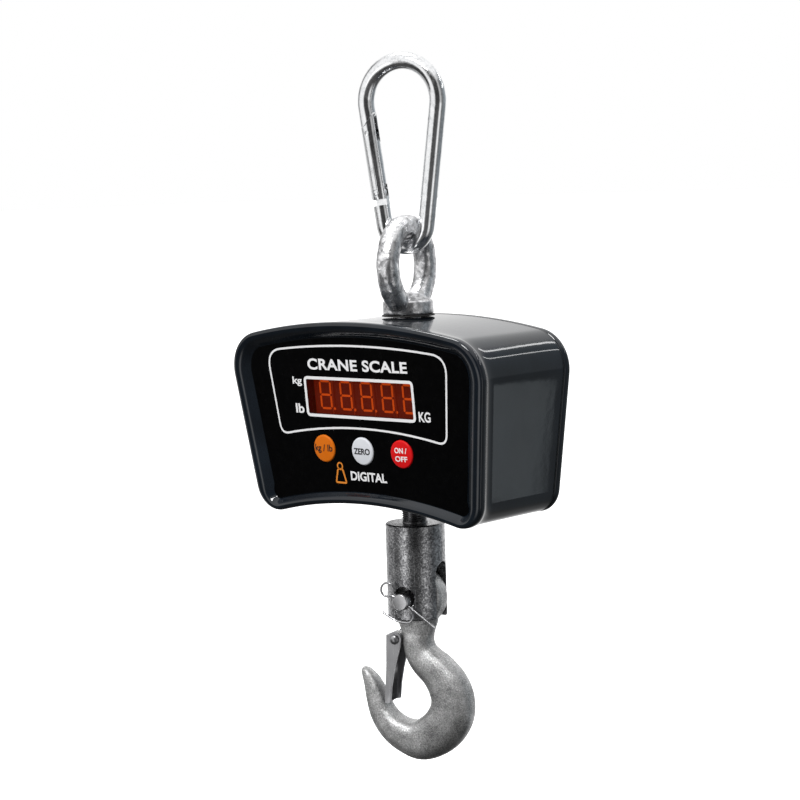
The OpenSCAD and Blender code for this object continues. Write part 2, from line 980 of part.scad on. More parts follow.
// Half-round wire pair: eye loop, straight leg and a leg curled back.
function turned(p) = [p[0] * cos(35) + p[1] * sin(35), 0, -p[0] * sin(35) + p[1] * cos(35)];
module split_pin() {
  color([0.76, 0.77, 0.78])
  at_pin()
    translate([0, -23.6, 0])
      union() {
        wire(smooth([for (p = [
          [30.5, 0.75], [20, 0.75], [8, 0.75], [0, 0.75], [-7, 0.75], [-9.2, 1.9], [-11, 3.9],
          [-14, 5.0], [-17.2, 3.6], [-18.6, 0], [-17.2, -3.6], [-14, -5.0], [-11, -3.9],
          [-9.2, -1.9], [-7, -0.75], [0, -0.75], [6.5, -0.75], [10.5, -1.6], [13.3, -4.4],
          [13.0, -8.0], [10.6, -10.6], [4.0, -14.0], [-3.5, -15.2], [-8, -15.6]])
          turned(p)], 3),
          0.74, [0, 1, 0], 10);
      }
}

// ---------- hook ----------

// Each station: place in the hook plane, half width in the plane, half thickness.
hook_line = [
  [0, -10, 11.5, 7.3], [0.2, -20, 11.4, 7.5], [0.3, -27, 11.0, 9.6],
  [0.5, -34, 10.6, 10.6], [3.0, -41.6, 11.0, 11.2], [8.2, -47.4, 12.0, 11.6],
  [15.8, -53.6, 13.0, 12.0], [22.8, -62.8, 14.6, 12.2], [26.2, -73.5, 15.5, 12.4],
  [24.2, -85.2, 16.2, 12.5], [15.4, -96.6, 16.0, 12.6], [1.5, -103.8, 14.8, 12.4],
  [-11, -102.6, 12.4, 11.6], [-22, -97.0, 10.6, 10.6], [-30.2, -87.6, 9.0, 9.6],
  [-34.4, -75.9, 8.1, 8.6], [-37.6, -66.0, 6.8, 7.4], [-41.4, -59.8, 5.2, 6.0],
  [-43.8, -57.2, 3.9, 4.4], [-45.4, -55.8, 1.6, 1.9]];
function rounded(v) = sign(v) * pow(abs(v), 0.78);
function hook_ring(p, t) =
  let (m = [t[1], -t[0]])
  [for (j = [0 : 23])
    let (
      a = 360 * j / 24,
      w = p[2] * rounded(cos(a)),
      h = p[3] * rounded(sin(a)) * (1 + 0.07 * cos(a))
    )
    [p[0] + w * m[0], h, p[1] + w * m[1]]];

module hook() {
  path = smooth(hook_line, 3);
  m = len(path);
  color([0.45, 0.45, 0.46])
  at_pin()
    difference() {
      union() {
        loft([for (i = [m - 1 : -1 : 0])
          let (
            a = path[max(i - 1, 0)],
            b = path[min(i + 1, m - 1)],
            t = unit([b[0] - a[0], b[1] - a[1]])
          )
          hook_ring(path[i], t)]);
        rotate([90, 0, 0])
          rotate_extrude()
            polygon([
              [0, -hook_eye_t / 2], [hook_eye_r - 3, -hook_eye_t / 2],
              [hook_eye_r - 0.9, -hook_eye_t / 2 + 1.1], [hook_eye_r, -hook_eye_t / 2 + 3.4],
              [hook_eye_r, hook_eye_t / 2 - 3.4], [hook_eye_r - 0.9, hook_eye_t / 2 - 1.1],
              [hook_eye_r - 3, hook_eye_t / 2], [0, hook_eye_t / 2]]);
        translate([latch_u, 3.1, latch_z])
          rotate([90, 0, 0])
            cylinder(r = 4.6, h = 6.2);
        translate([latch_u, -3.1, latch_z - 4.6])
          cube([12, 6.2, 9.2]);
      }
      translate([0, 20, 0])
        rotate([90, 0, 0])
          cylinder(d = pin_d + 0.1, h = 40);
      translate([latch_u, 20, latch_z])
        rotate([90, 0, 0])
          cylinder(d = 4.06, h = 40);
    }
}

module latch_rivet() {
  color([0.72, 0.73, 0.74])
  at_pin()
    translate([latch_u, 0, latch_z])
      rotate([90, 0, 0])
        union() {
          cylinder(d = 4, h = 19.4, center = true);
          for (s = [-1, 1])
            rotate([s > 0 ? 0 : 180, 0, 0])
              translate([0, 0, 8.8])
                rotate_extrude()
                  polygon(concat([[0, 0]],
                    [for (i = [0 : 5]) [3.6 * cos(18 * i), 2.2 * sin(18 * i)]]));
        }
}

// Bent sheet: two cheeks and a web on the outer side.
latch_side = concat(
  [for (i = [0 : 8]) [5.4 * cos(150 - 22.5 * i), 5.4 * sin(150 - 22.5 * i)]],
  [[1.4, -13], [-1.6, -24], [-3.9, -36], [-5.0, -46.4], [-9.3, -47.2], [-7.4, -20], [-6.6, 3]]);

module latch_sheet(y, h) {
  translate([0, y, 0])
    rotate([90, 0, 0])
      linear_extrude(height = h)
        children();
}

module latch() {
  color([0.62, 0.62, 0.63])
  at_pin()
    translate([latch_u, 0, latch_z])
      difference() {
        union() {
          latch_sheet(8.5, 1.9)
            polygon(latch_side);
          latch_sheet(-6.6, 1.9)
            polygon(latch_side);
          latch_sheet(8.5, 17)
            polygon([[-5.1, 2.5], [-5.6, -10], [-7.6, -46.9], [-9.3, -47.2], [-7.4, -20], [-6.6, 3]]);
        }
        translate([0, 20, 0])
          rotate([90, 0, 0])
            cylinder(d = 4.1, h = 40);
      }
}

// Torsion spring: coils beside the lug, one leg on the web, one on the neck.
module latch_spring() {
  color([0.60, 0.61, 0.62])
  at_pin()
    translate([latch_u, 0, latch_z])
      wire(concat(
        [[-3.9, -4.2, -15], [-3.5, -4.2, -8], [-2.95, -4.2, -2]],
        [for (i = [0 : 24])
          [2.95 * cos(180 - 22.5 * i), -4.2 - 1.65 * i / 24, 2.95 * sin(180 - 22.5 * i)]],
        [[3.1, -5.85, -2.0], [4.0, -5.85, -4.2]]),
        0.5, [0, 1, 0], 8);
}

// ---------- assembly ----------

carabiner_frame();
gate_pivot_rivet();
carabiner_gate();
gate_catch_pin();
gate_spring();
gate_plunger();
eye_bolt();
eye_seal();
housing();
front_overlay();
display_window();
display_digits();
display_board();
display_screws();
key_switches();
unit_key();
zero_key();
power_key();
load_cell();
load_cell_lead();
main_board();
board_standoffs();
board_screws();
battery();
battery_bracket();
bracket_screws();
battery_leads();
rear_gasket();
rear_cover();
rear_screws();
charge_socket();
socket_nut();
lower_stud();
stud_lock_nut();
bottom_seal();
swivel_head();
bearing_upper_race();
bearing_balls();
bearing_lower_race();
swivel_nut();
nut_pin();
cross_pin();
split_pin();
hook();
latch_rivet();
latch();
latch_spring();
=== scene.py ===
import json
from math import asin, atan2, cos, pi, radians, sin, sqrt, tan

import bmesh
import bpy
import numpy as np
from mathutils import Matrix, Vector


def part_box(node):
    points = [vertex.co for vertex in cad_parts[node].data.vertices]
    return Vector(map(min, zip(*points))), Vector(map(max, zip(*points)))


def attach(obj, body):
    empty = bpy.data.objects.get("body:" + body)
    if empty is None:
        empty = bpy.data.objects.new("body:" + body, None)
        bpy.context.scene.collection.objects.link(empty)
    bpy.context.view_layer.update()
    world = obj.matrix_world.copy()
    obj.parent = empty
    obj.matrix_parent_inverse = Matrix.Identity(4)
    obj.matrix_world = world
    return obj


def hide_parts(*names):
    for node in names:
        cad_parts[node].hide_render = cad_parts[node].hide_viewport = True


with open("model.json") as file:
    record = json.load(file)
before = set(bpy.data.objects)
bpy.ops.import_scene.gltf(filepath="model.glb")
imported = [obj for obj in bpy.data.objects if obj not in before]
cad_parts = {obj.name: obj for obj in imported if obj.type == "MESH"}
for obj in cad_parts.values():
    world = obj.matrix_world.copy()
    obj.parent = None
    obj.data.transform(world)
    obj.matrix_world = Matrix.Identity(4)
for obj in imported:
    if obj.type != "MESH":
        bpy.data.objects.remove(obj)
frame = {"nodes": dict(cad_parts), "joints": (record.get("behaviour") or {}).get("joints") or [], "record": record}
nodes = frame["nodes"]
joints = {j["name"]: j for j in frame["joints"]}
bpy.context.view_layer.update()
print("frame loaded", len(nodes), "nodes")

mm = 0.001

# places that everything is set out from
tiltAxis = joints["hook_tilt"]["axis"]
hangTurn = atan2(-tiltAxis[0], tiltAxis[1])
pinZ = joints["hook_tilt"]["pos_m"][2] / mm
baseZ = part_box("eye_seal")[1][2] / mm
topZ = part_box("eye_seal")[0][2] / mm
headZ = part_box("swivel_head")[1][2] / mm
ringZ = joints["scale_swing"]["pos_m"][2] / mm - 13.65
midZ = baseZ - 75
panelY = 53.5
panelLean = radians(5.5)

hang = Matrix.Rotation(hangTurn, 4, "Z")
onPanel = Matrix.Translation((0, -panelY, midZ)) @ Matrix.Rotation(panelLean, 4, "X")
atPin = hang @ Matrix.Translation((0, 0, pinZ))
toMetres = Matrix.Scale(mm, 4)
still = Matrix.Identity(4)
toFront = Matrix.Rotation(pi / 2, 4, "X")
toBack = Matrix.Rotation(-pi / 2, 4, "X")
lift = Matrix.Translation


class Link:
    def __init__(self, finish, socket):
        self.finish = finish
        self.socket = socket

    def maths(self, kind, *others):
        return self.finish.add("Math", {"operation": kind}, {i: v for i, v in enumerate(others)})

    def __add__(self, other):
        return self.maths("ADD", self, other)

    def __mul__(self, other):
        return self.maths("MULTIPLY", self, other)


class NodeMaker:
    def __init__(self, tree):
        self.tree = tree

    def add(self, kind, settings=None, values=None, out=0):
        node = self.tree.nodes.new("ShaderNode" + kind)
        for key, value in (settings or {}).items():
            if key == "stops":
                ramp = node.color_ramp
                while len(ramp.elements) < len(value):
                    ramp.elements.new(0.5)
                for element, (at, colour) in zip(ramp.elements, value):
                    element.position = at
                    element.color = colour if len(colour) == 4 else (*colour, 1)
            else:
                setattr(node, key, value)
        for key, value in (values or {}).items():
            self.feed(node.inputs[key], value)
        return Link(self, node.outputs[out])

    def feed(self, socket, value):
        if isinstance(value, Link):
            self.tree.links.new(value.socket, socket)
        elif socket.type == "RGBA" and len(value) == 3:
            socket.default_value = (*value, 1)
        else:
            socket.default_value = value

    def ramp(self, fac, *stops):
        return self.add("ValToRGB", {"stops": stops}, {"Fac": fac}, "Color")

    def spread(self, value, low, high, newLow, newHigh, kind="LINEAR"):
        return self.add("MapRange", {"interpolation_type": kind}, {
            "Value": value, "From Min": low, "From Max": high, "To Min": newLow, "To Max": newHigh}, "Result")

    def mixed(self, fac, a, b, blend="MIX"):
        node = self.tree.nodes.new("ShaderNodeMix")
        node.data_type = "RGBA"
        node.blend_type = blend
        self.feed(node.inputs[0], fac)
        self.feed(node.inputs[6], a)
        self.feed(node.inputs[7], b)
        return Link(self, node.outputs[2])


class Finish(NodeMaker):
    def __init__(self, name, **values):
        self.material = bpy.data.materials.new(name)
        self.material.use_nodes = True
        super().__init__(self.material.node_tree)
        self.bsdf = self.tree.nodes["Principled BSDF"]
        self.place = self.add("TexCoord", out="Object")
        self.set(**values)

    def set(self, **values):
        for key, value in values.items():
            self.feed(self.bsdf.inputs[key.replace("_", " ")], value)
        return self

    def stretched(self, size):
        return self.add("Mapping", None, {"Vector": self.place, "Scale": size})

    def noise(self, scale, detail=2.0, rough=0.5, place=None, distortion=0.0):
        return self.add("TexNoise", None, {"Vector": place or self.place, "Scale": scale, "Detail": detail,
                                          "Roughness": rough, "Distortion": distortion}, "Fac")

    def cells(self, scale):
        return self.add("TexVoronoi", None, {"Vector": self.place, "Scale": scale}, "Distance")

    def bump(self, height, strength=0.3, distance=0.0005, under=None):
        values = {"Height": height, "Strength": strength, "Distance": distance}
        if under:
            values["Normal"] = under
        return self.add("Bump", None, values, "Normal")

    def edges(self):
        return self.add("NewGeometry", None, None, "Pointiness")


def brightZinc():
    f = Finish("brightZinc", Metallic=1.0)
    cloud = f.noise(150, 4, 0.65)
    specks = f.noise(620, 3, 0.7)
    f.set(Base_Color=f.ramp(cloud * 0.6 + specks * 0.4, (0.36, (0.60, 0.61, 0.62)), (0.48, (0.84, 0.85, 0.86)),
                            (0.62, (0.95, 0.95, 0.96))),
          Roughness=f.spread(specks, 0.35, 0.65, 0.07, 0.19))
    f.set(Normal=f.bump(specks * 0.6 + cloud, 0.12, 0.00012))
    return f


def forgedZinc():
    f = Finish("forgedZinc", Metallic=1.0)
    mottle = f.noise(270, 5, 0.7, distortion=0.6)
    hammered = f.noise(120, 3, 0.6)
    pits = f.spread(f.cells(520), 0.05, 0.35, 0, 1)
    f.set(Base_Color=f.ramp(mottle * 0.75 + hammered * 0.3, (0.36, (0.15, 0.15, 0.155)),
                            (0.50, (0.56, 0.56, 0.57)), (0.64, (0.94, 0.94, 0.95))),
          Roughness=f.spread(mottle, 0.35, 0.65, 0.40, 0.24))
    f.set(Normal=f.bump(hammered + mottle * 0.35, 0.5, 0.0010, f.bump(pits, 0.25, 0.0003)))
    return f


def platedSteel():
    f = Finish("platedSteel", Metallic=1.0)
    grain = f.noise(640, 3, 0.75)
    fine = f.noise(1500, 2, 0.7)
    blotch = f.noise(90, 3, 0.6)
    f.set(Base_Color=f.ramp(grain * 0.7 + blotch * 0.3, (0.38, (0.10, 0.10, 0.105)), (0.50, (0.30, 0.30, 0.31)),
                            (0.64, (0.70, 0.70, 0.71))),
          Roughness=f.spread(grain, 0.35, 0.65, 0.34, 0.22))
    f.set(Normal=f.bump(grain + fine * 0.4, 0.42, 0.00032))
    return f


def castZinc():
    f = Finish("castZinc", Metallic=1.0)
    sand = f.noise(1050, 4, 0.8)
    pits = f.cells(900)
    blotch = f.noise(70, 4, 0.6)
    rubbed = f.spread(f.edges(), 0.52, 0.62, 0, 0.12)
    f.set(Base_Color=f.ramp(sand * 0.65 + blotch * 0.35 + rubbed, (0.38, (0.21, 0.21, 0.21)),
                            (0.50, (0.48, 0.48, 0.48)), (0.62, (0.84, 0.84, 0.84))),
          Roughness=f.spread(sand, 0.35, 0.65, 0.50, 0.33))
    f.set(Normal=f.bump(sand * 0.9 + pits * 0.4, 0.6, 0.00055))
    return f


def turnedSteel():
    f = Finish("turnedSteel", Metallic=1.0)
    rings = f.noise(500, 2, 0.5, f.stretched((0.1, 1, 0.1)))
    f.set(Base_Color=f.mixed(f.noise(260, 3), (0.32, 0.32, 0.33), (0.58, 0.58, 0.59)),
          Roughness=f.spread(rings, 0.3, 0.7, 0.20, 0.32))
    f.set(Normal=f.bump(rings, 0.12, 0.0002))
    return f


def sheetSteel():
    f = Finish("sheetSteel", Metallic=1.0)
    scratch = f.noise(120, 3, 0.6, f.stretched((6, 6, 0.8)))
    f.set(Base_Color=f.mixed(f.noise(70, 3), (0.24, 0.24, 0.25), (0.46, 0.46, 0.47)),
          Roughness=f.spread(scratch, 0.3, 0.7, 0.24, 0.40))
    f.set(Normal=f.bump(scratch, 0.15, 0.0002))
    return f


def plain(name, dark, light, cloud, grain, rough, **values):
    # cloudy colour between two shades, with a roughness that follows a finer grain
    f = Finish(name, **values)
    f.set(Base_Color=f.mixed(f.noise(*cloud), dark, light),
          Roughness=f.spread(f.noise(grain, 2), 0.3, 0.7, *rough))
    return f


def blackPaint():
    f = Finish("blackPaint", IOR=1.5, Coat_Weight=0.2, Coat_Roughness=0.04, Specular_IOR_Level=0.42)
    peel = f.noise(130, 2, 0.45)
    dust = f.noise(1400, 2, 0.8)
    worn = f.ramp(f.noise(24, 4, 0.6), (0.35, (0.004, 0.006, 0.009)), (0.75, (0.010, 0.015, 0.022)))
    f.set(Base_Color=f.mixed(f.spread(dust, 0.62, 0.8, 0, 0.35), worn, (0.045, 0.05, 0.055)),
          Roughness=f.spread(f.noise(45, 3), 0.3, 0.7, 0.045, 0.085))
    f.set(Normal=f.bump(peel, 0.035, 0.0006))
    return f


def panelFilm():
    f = plain("panelFilm", (0.0006, 0.0006, 0.0007), (0.0016, 0.0016, 0.0018), (60, 2), 220, (0.20, 0.28),
              IOR=1.38, Specular_IOR_Level=0.14)
    f.set(Normal=f.bump(f.noise(160, 2), 0.03, 0.0004))
    return f


def ink(name, colour):
    return plain(name, [c * 0.93 for c in colour], colour, (900, 2), 500, (0.40, 0.55)).material


def keyCap(name, dark, light):
    f = plain(name, dark, light, (180, 3), 300, (0.34, 0.44), IOR=1.46, Specular_IOR_Level=0.22)
    f.set(Normal=f.bump(f.noise(700, 2), 0.05, 0.0002))
    return f


def redWindow():
    return plain("redWindow", (0.060, 0.003, 0.001), (0.080, 0.005, 0.001), (40, 2), 200, (0.05, 0.12),
                 IOR=1.45, Alpha=0.36, Specular_IOR_Level=0.25)


def digitFace():
    # the module face gets a dim red emission: a painted glow on a part that is no lamp, standing in for light
    # spilled from the lit segments
    f = plain("digitFace", (0.10, 0.012, 0.003), (0.13, 0.016, 0.004), (300, 2), 300, (0.5, 0.6),
              Emission_Strength=0.42)
    f.set(Emission_Color=f.mixed(f.noise(90, 2), (0.26, 0.016, 0.002), (0.33, 0.022, 0.003)))
    return f


def digitSegment():
    f = plain("digitSegment", (0.5, 0.08, 0.01), (0.6, 0.1, 0.015), (300, 2), 300, (0.4, 0.5),
              Emission_Strength=1.0)
    f.set(Emission_Color=f.mixed(f.noise(160, 2), (0.84, 0.085, 0.003), (1.0, 0.115, 0.006)))
    return f


def moduleEdge():
    # thin slats at the module joins get an orange emission: a painted glow on parts that are no lamp
    f = Finish("moduleEdge", Emission_Strength=0.5, Base_Color=(0.3, 0.03, 0.01), Roughness=0.5)
    f.set(Emission_Color=f.mixed(f.noise(200, 2), (0.30, 0.02, 0.002), (0.75, 0.07, 0.004)))
    return f


def circuitBoard():
    f = Finish("circuitBoard", IOR=1.5)
    f.set(Base_Color=f.mixed(f.spread(f.cells(260), 0.3, 0.5, 0, 1), (0.015, 0.16, 0.07), (0.03, 0.28, 0.13)),
          Roughness=f.spread(f.noise(200, 2), 0.3, 0.7, 0.28, 0.40))
    return f


def mouldedPlastic(name, dark, light):
    f = plain(name, dark, light, (60, 3), 700, (0.42, 0.60))
    f.set(Normal=f.bump(f.noise(700, 2), 0.12, 0.0002))
    return f


def milledAluminium():
    f = Finish("milledAluminium", Metallic=1.0)
    lines = f.noise(90, 2, 0.5, f.stretched((1, 1, 14)))
    f.set(Base_Color=f.mixed(lines, (0.62, 0.63, 0.65), (0.78, 0.79, 0.81)),
          Roughness=f.spread(lines, 0.3, 0.7, 0.26, 0.38))
    f.set(Normal=f.bump(lines, 0.15, 0.0002))
    return f


kinds = {
    "bright_zinc": brightZinc(),
    "forged_zinc": forgedZinc(),
    "plated_steel": platedSteel(),
    "cast_zinc": castZinc(),
    "sheet_steel": sheetSteel(),
    "spring_steel": plain("springSteel", (0.50, 0.51, 0.52), (0.80, 0.81, 0.82), (200, 2), 400, (0.16, 0.30),
                          Metallic=1.0),
    "dark_steel": plain("darkSteel", (0.14, 0.14, 0.145), (0.42, 0.42, 0.43), (180, 3), 300, (0.24, 0.40),
                        Metallic=1.0),
    "bearing_steel": plain("bearingSteel", (0.66, 0.67, 0.69), (0.80, 0.81, 0.83), (120, 2), 500, (0.08, 0.16),
                           Metallic=1.0),
    "black_paint": blackPaint(),
    "film": panelFilm(),
    "window": redWindow(),
    "led": digitFace(),
    "circuit": circuitBoard(),
    "black_plastic": mouldedPlastic("blackPlastic", (0.02, 0.02, 0.021), (0.04, 0.04, 0.042)),
    "orange_key": keyCap("orangeKey", (0.70, 0.150, 0.003), (0.79, 0.185, 0.005)),
    "white_key": keyCap("whiteKey", (0.74, 0.76, 0.80), (0.82, 0.84, 0.88)),
    "red_key": keyCap("redKey", (0.70, 0.004, 0.006), (0.80, 0.008, 0.010)),
    "cell_aluminium": milledAluminium(),
    "brass_standoff": plain("turnedBrass", (0.72, 0.52, 0.20), (0.86, 0.66, 0.30), (120, 2), 300, (0.22, 0.34),
                            Metallic=1.0),
    "battery_case": mouldedPlastic("batteryCase", (0.03, 0.03, 0.035), (0.06, 0.06, 0.07)),
    "lead_sheath": mouldedPlastic("leadSheath", (0.16, 0.16, 0.17), (0.24, 0.24, 0.25)),
    "red_wire": mouldedPlastic("redWire", (0.42, 0.01, 0.01), (0.55, 0.02, 0.015)),
    "seal_rubber": plain("softRubber", (0.010, 0.010, 0.010), (0.022, 0.022, 0.022), (150, 3), 500,
                         (0.55, 0.75)),
}
finish = {slot: made.material for slot, made in kinds.items()}
pinSteel, segmentGlow, edgeGlow = turnedSteel().material, digitSegment().material, moduleEdge().material
whiteInk = ink("whiteInk", (0.97, 0.97, 0.98))
darkInk = ink("darkInk", (0.003, 0.003, 0.004))
orangeInk = ink("orangeInk", (0.85, 0.27, 0.02))
slotOf = {row["node"]: row["material_slot"] for row in frame["record"]["subparts"]}


def paint(obj, material):
    obj.data.materials.clear()
    obj.data.materials.append(material)


for name, obj in nodes.items():
    paint(obj, finish[slotOf[name]])
print("finishes ready", len(finish))


def build(name, verts, faces, place, material, smooth=40.0):
    mesh = bpy.data.meshes.new(name)
    mesh.from_pydata([tuple(v) for v in verts], [], faces)
    mesh.transform(toMetres @ place)
    return finishMesh(name, mesh, material, smooth)


def polish(mesh, material, smooth):
    # merges doubles, turns faces outward, sets one material, smooths up to the angle
    shape = bmesh.new()
    shape.from_mesh(mesh)
    bmesh.ops.remove_doubles(shape, verts=shape.verts, dist=2e-6)
    bmesh.ops.recalc_face_normals(shape, faces=shape.faces)
    shape.to_mesh(mesh)
    shape.free()
    mesh.materials.clear()
    mesh.materials.append(material)
    if smooth:
        mesh.shade_smooth()
        mesh.set_sharp_from_angle(angle=radians(smooth))


def linked(name, data):
    obj = bpy.data.objects.new(name, data)
    bpy.context.scene.collection.objects.link(obj)
    return obj


def finishMesh(name, mesh, material, smooth=40.0):
    polish(mesh, material, smooth)
    return linked(name, mesh)


def applied(obj):
    graph = bpy.context.evaluated_depsgraph_get()
    fresh = bpy.data.meshes.new_from_object(obj.evaluated_get(graph))
    obj.modifiers.clear()
    obj.data = fresh
    return obj


def cut(obj, *cutters, operation="DIFFERENCE"):
    for cutter in cutters:
        m = obj.modifiers.new("cut", "BOOLEAN")
        m.operation = operation
        m.object = cutter
        m.solver = "EXACT"
    applied(obj)
    for cutter in cutters:
        bpy.data.objects.remove(cutter)
    return obj


def softened(obj, width=0.25, segments=2, angle=35.0):
    m = obj.modifiers.new("edge", "BEVEL")
    m.width = width * mm
    m.segments = segments
    m.limit_method = "ANGLE"
    m.angle_limit = radians(angle)
    m.harden_normals = True
    m.use_clamp_overlap = True
    return applied(obj)


def give(obj, body, slot, *replaced):
    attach(obj, body)
    if replaced:
        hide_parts(*replaced)
    return obj


def skinFaces(rings, around, capFirst=True, capLast=True, closed=True):
    faces = []
    for i in range(rings - 1):
        for j in range(around if closed else around - 1):
            a, b = i * around + j, i * around + (j + 1) % around
            faces.append((a, b, b + around, a + around))
    if capFirst:
        faces.append(tuple(range(around - 1, -1, -1)))
    if capLast:
        faces.append(tuple((rings - 1) * around + j for j in range(around)))
    return faces


def lathe(profile, steps=96):
    # profile of (radius, height), closed on the axis or as a ring
    rows = [[(r * cos(2 * pi * j / steps), r * sin(2 * pi * j / steps), z) for j in range(steps)] for r,
            z in profile]
    verts = [v for row in rows for v in row]
    faces = skinFaces(len(rows), steps, profile[0][0] < 0.01, profile[-1][0] < 0.01)
    if profile[0][0] >= 0.01:
        n = len(rows)
        faces += [((n - 1) * steps + j, (n - 1) * steps + (j + 1) % steps, (j + 1) % steps, j)
                  for j in range(steps)]
    return verts, faces


def rod(r, z0, z1, steps=64, chamfer=0.0):
    if chamfer:
        return lathe([(0.001, z0), (r - chamfer, z0), (r, z0 + chamfer), (r, z1 - chamfer), (r - chamfer, z1),
                      (0.001, z1)], steps)
    return lathe([(0.001, z0), (r, z0), (r, z1), (0.001, z1)], steps)


def block(x0, x1, y0, y1, z0, z1):
    verts = [(x, y, z) for z in (z0, z1) for y in (y0, y1) for x in (x0, x1)]
    return verts, [(0, 1, 3, 2), (4, 6, 7, 5), (0, 4, 5, 1), (2, 3, 7, 6), (0, 2, 6, 4), (1, 5, 7, 3)]


def cutter(shape, place):
    return build("cutter", *shape, place, finish["film"], 0)


def eased(obj, material):
    # smooth shading of a forged skin, sharp only where cut
    obj.data.shade_smooth()
    obj.data.set_sharp_from_angle(angle=radians(60))
    paint(obj, material)


def geometryTree(name, *inputs):
    tree = bpy.data.node_groups.new(name, "GeometryNodeTree")
    tree.interface.new_socket("Geometry", in_out="INPUT", socket_type="NodeSocketGeometry")
    for label, kind in inputs:
        tree.interface.new_socket(label, in_out="INPUT", socket_type="NodeSocket" + kind)
    tree.interface.new_socket("Geometry", in_out="OUTPUT", socket_type="NodeSocketGeometry")
    return tree, tree.nodes.new("NodeGroupInput"), tree.nodes.new("NodeGroupOutput"), tree.links.new


def endTree(tree, start, end, shape):
    # every tree ends in real geometry with its material
    real, paint = tree.nodes.new("GeometryNodeRealizeInstances"), tree.nodes.new("GeometryNodeSetMaterial")
    tree.links.new(shape, real.inputs["Geometry"])
    tree.links.new(real.outputs["Geometry"], paint.inputs["Geometry"])
    tree.links.new(start.outputs["Material"], paint.inputs["Material"])
    tree.links.new(paint.outputs["Geometry"], end.inputs["Geometry"])


def runTree(obj, tree, material, smooth, **values):
    modifier = obj.modifiers.new(tree.name, "NODES")
    modifier.node_group = tree
    sockets = {item.name: item.identifier for item in tree.interface.items_tree if item.in_out == "INPUT"}
    for key, value in {**values, "Material": material}.items():
        modifier[sockets[key]] = value
    bpy.context.view_layer.update()
    applied(obj)
    polish(obj.data, material, smooth)
    return obj


def wireTree():
    tree, start, end, link = geometryTree("wireAlong", ("Radius", "Float"), ("Sides", "Int"),
                                          ("Material", "Material"))
    toCurve, section, body = (tree.nodes.new("GeometryNode" + kind)
                              for kind in ("MeshToCurve", "CurvePrimitiveCircle", "CurveToMesh"))
    body.inputs["Fill Caps"].default_value = True
    link(start.outputs["Geometry"], toCurve.inputs["Mesh"])
    link(start.outputs["Radius"], section.inputs["Radius"])
    link(start.outputs["Sides"], section.inputs["Resolution"])
    link(toCurve.outputs["Curve"], body.inputs["Curve"])
    link(section.outputs["Curve"], body.inputs["Profile Curve"])
    endTree(tree, start, end, body.outputs["Mesh"])
    return tree


def copyTree():
    tree, start, end, link = geometryTree("copiesOnPoints", ("Source", "Object"), ("Size", "Float"),
                                          ("Material", "Material"))
    info, place, turn = (tree.nodes.new("GeometryNode" + kind)
                         for kind in ("ObjectInfo", "InstanceOnPoints", "InputNamedAttribute"))
    toTurn = tree.nodes.new("FunctionNodeEulerToRotation")
    turn.data_type = "FLOAT_VECTOR"
    turn.inputs["Name"].default_value = "turn"
    link(start.outputs["Geometry"], place.inputs["Points"])
    link(start.outputs["Source"], info.inputs["Object"])
    link(info.outputs["Geometry"], place.inputs["Instance"])
    link(turn.outputs["Attribute"], toTurn.inputs["Euler"])
    link(toTurn.outputs["Rotation"], place.inputs["Rotation"])
    link(start.outputs["Size"], place.inputs["Scale"])
    endTree(tree, start, end, place.outputs["Instances"])
    return tree


wireNodes, copyNodes = wireTree(), copyTree()


def wireAlong(name, path, radius, sides, place, material):
    # a bent wire: round section carried along a path
    mesh = bpy.data.meshes.new(name)
    mesh.from_pydata([tuple(v) for v in path], [(i, i + 1) for i in range(len(path) - 1)], [])
    mesh.transform(toMetres @ place)
    obj = linked(name, mesh)
    return runTree(obj, wireNodes, material, 50, Radius=radius * mm, Sides=sides)


def copiesAt(name, shape, places, material, smooth=30.0):
    # one shape on points that carry a turn
    source = build(name + "_source", *shape, still, material, smooth)
    cloud = bpy.data.meshes.new(name)
    cloud.from_pydata([tuple(mm * c for c in p.to_translation()) for p in places], [], [])
    turns = cloud.attributes.new("turn", "FLOAT_VECTOR", "POINT")
    for item, p in zip(turns.data, places):
        item.vector = tuple(p.to_euler())
    obj = linked(name, cloud)
    runTree(obj, copyNodes, material, smooth, Source=source, Size=1.0)
    bpy.data.objects.remove(source)
    return obj


def curved(points, steps):
    # Catmull-Rom through listed stations
    pts = [np.array(p, float) for p in points]
    out = []
    for i in range(len(pts) - 1):
        a, b, c, d = pts[max(i - 1, 0)], pts[i], pts[i + 1], pts[min(i + 2, len(pts) - 1)]
        for k in range(steps):
            t = k / steps
            out.append(b + 0.5 * t * ((c - a) + t * ((2 * a - 5 * b + 4 * c - d) + t * (3 * (b - c) + d - a))))
    out.append(pts[-1])
    return out


def remeshed(obj, voxel, smooth):
    m = obj.modifiers.new("skin", "REMESH")
    m.mode = "VOXEL"
    m.voxel_size = voxel * mm
    m.use_smooth_shade = True
    s = obj.modifiers.new("ease", "SMOOTH")
    s.factor = 0.5
    s.iterations = smooth
    applied(obj)
    obj.data.shade_smooth()
    return obj


def joined(parts, name):
    main = parts[0]
    for other in parts[1:]:
        m = main.modifiers.new("join", "BOOLEAN")
        m.operation = "UNION"
        m.object = other
        m.solver = "EXACT"
    applied(main)
    for other in parts[1:]:
        bpy.data.objects.remove(other)
    main.name = name
    return main


def stacked(parts):
    # several closed shells in one mesh, left overlapping for a remesh
    verts, faces = [], []
    for v, f, place in parts:
        base = len(verts)
        verts += [place @ Vector(p) for p in v]
        faces += [tuple(i + base for i in face) for face in f]
    return verts, faces


def refined(node, body, slot, angle=35.0, edge=0.2, segments=2, material=None):
    # merged, smooth-shaded copy of a CAD node with eased edges
    obj = finishMesh(node + "_fine", nodes[node].data.copy(), material or finish[slot], angle)
    if edge:
        softened(obj, edge, segments, angle)
    return give(obj, body, slot, node)


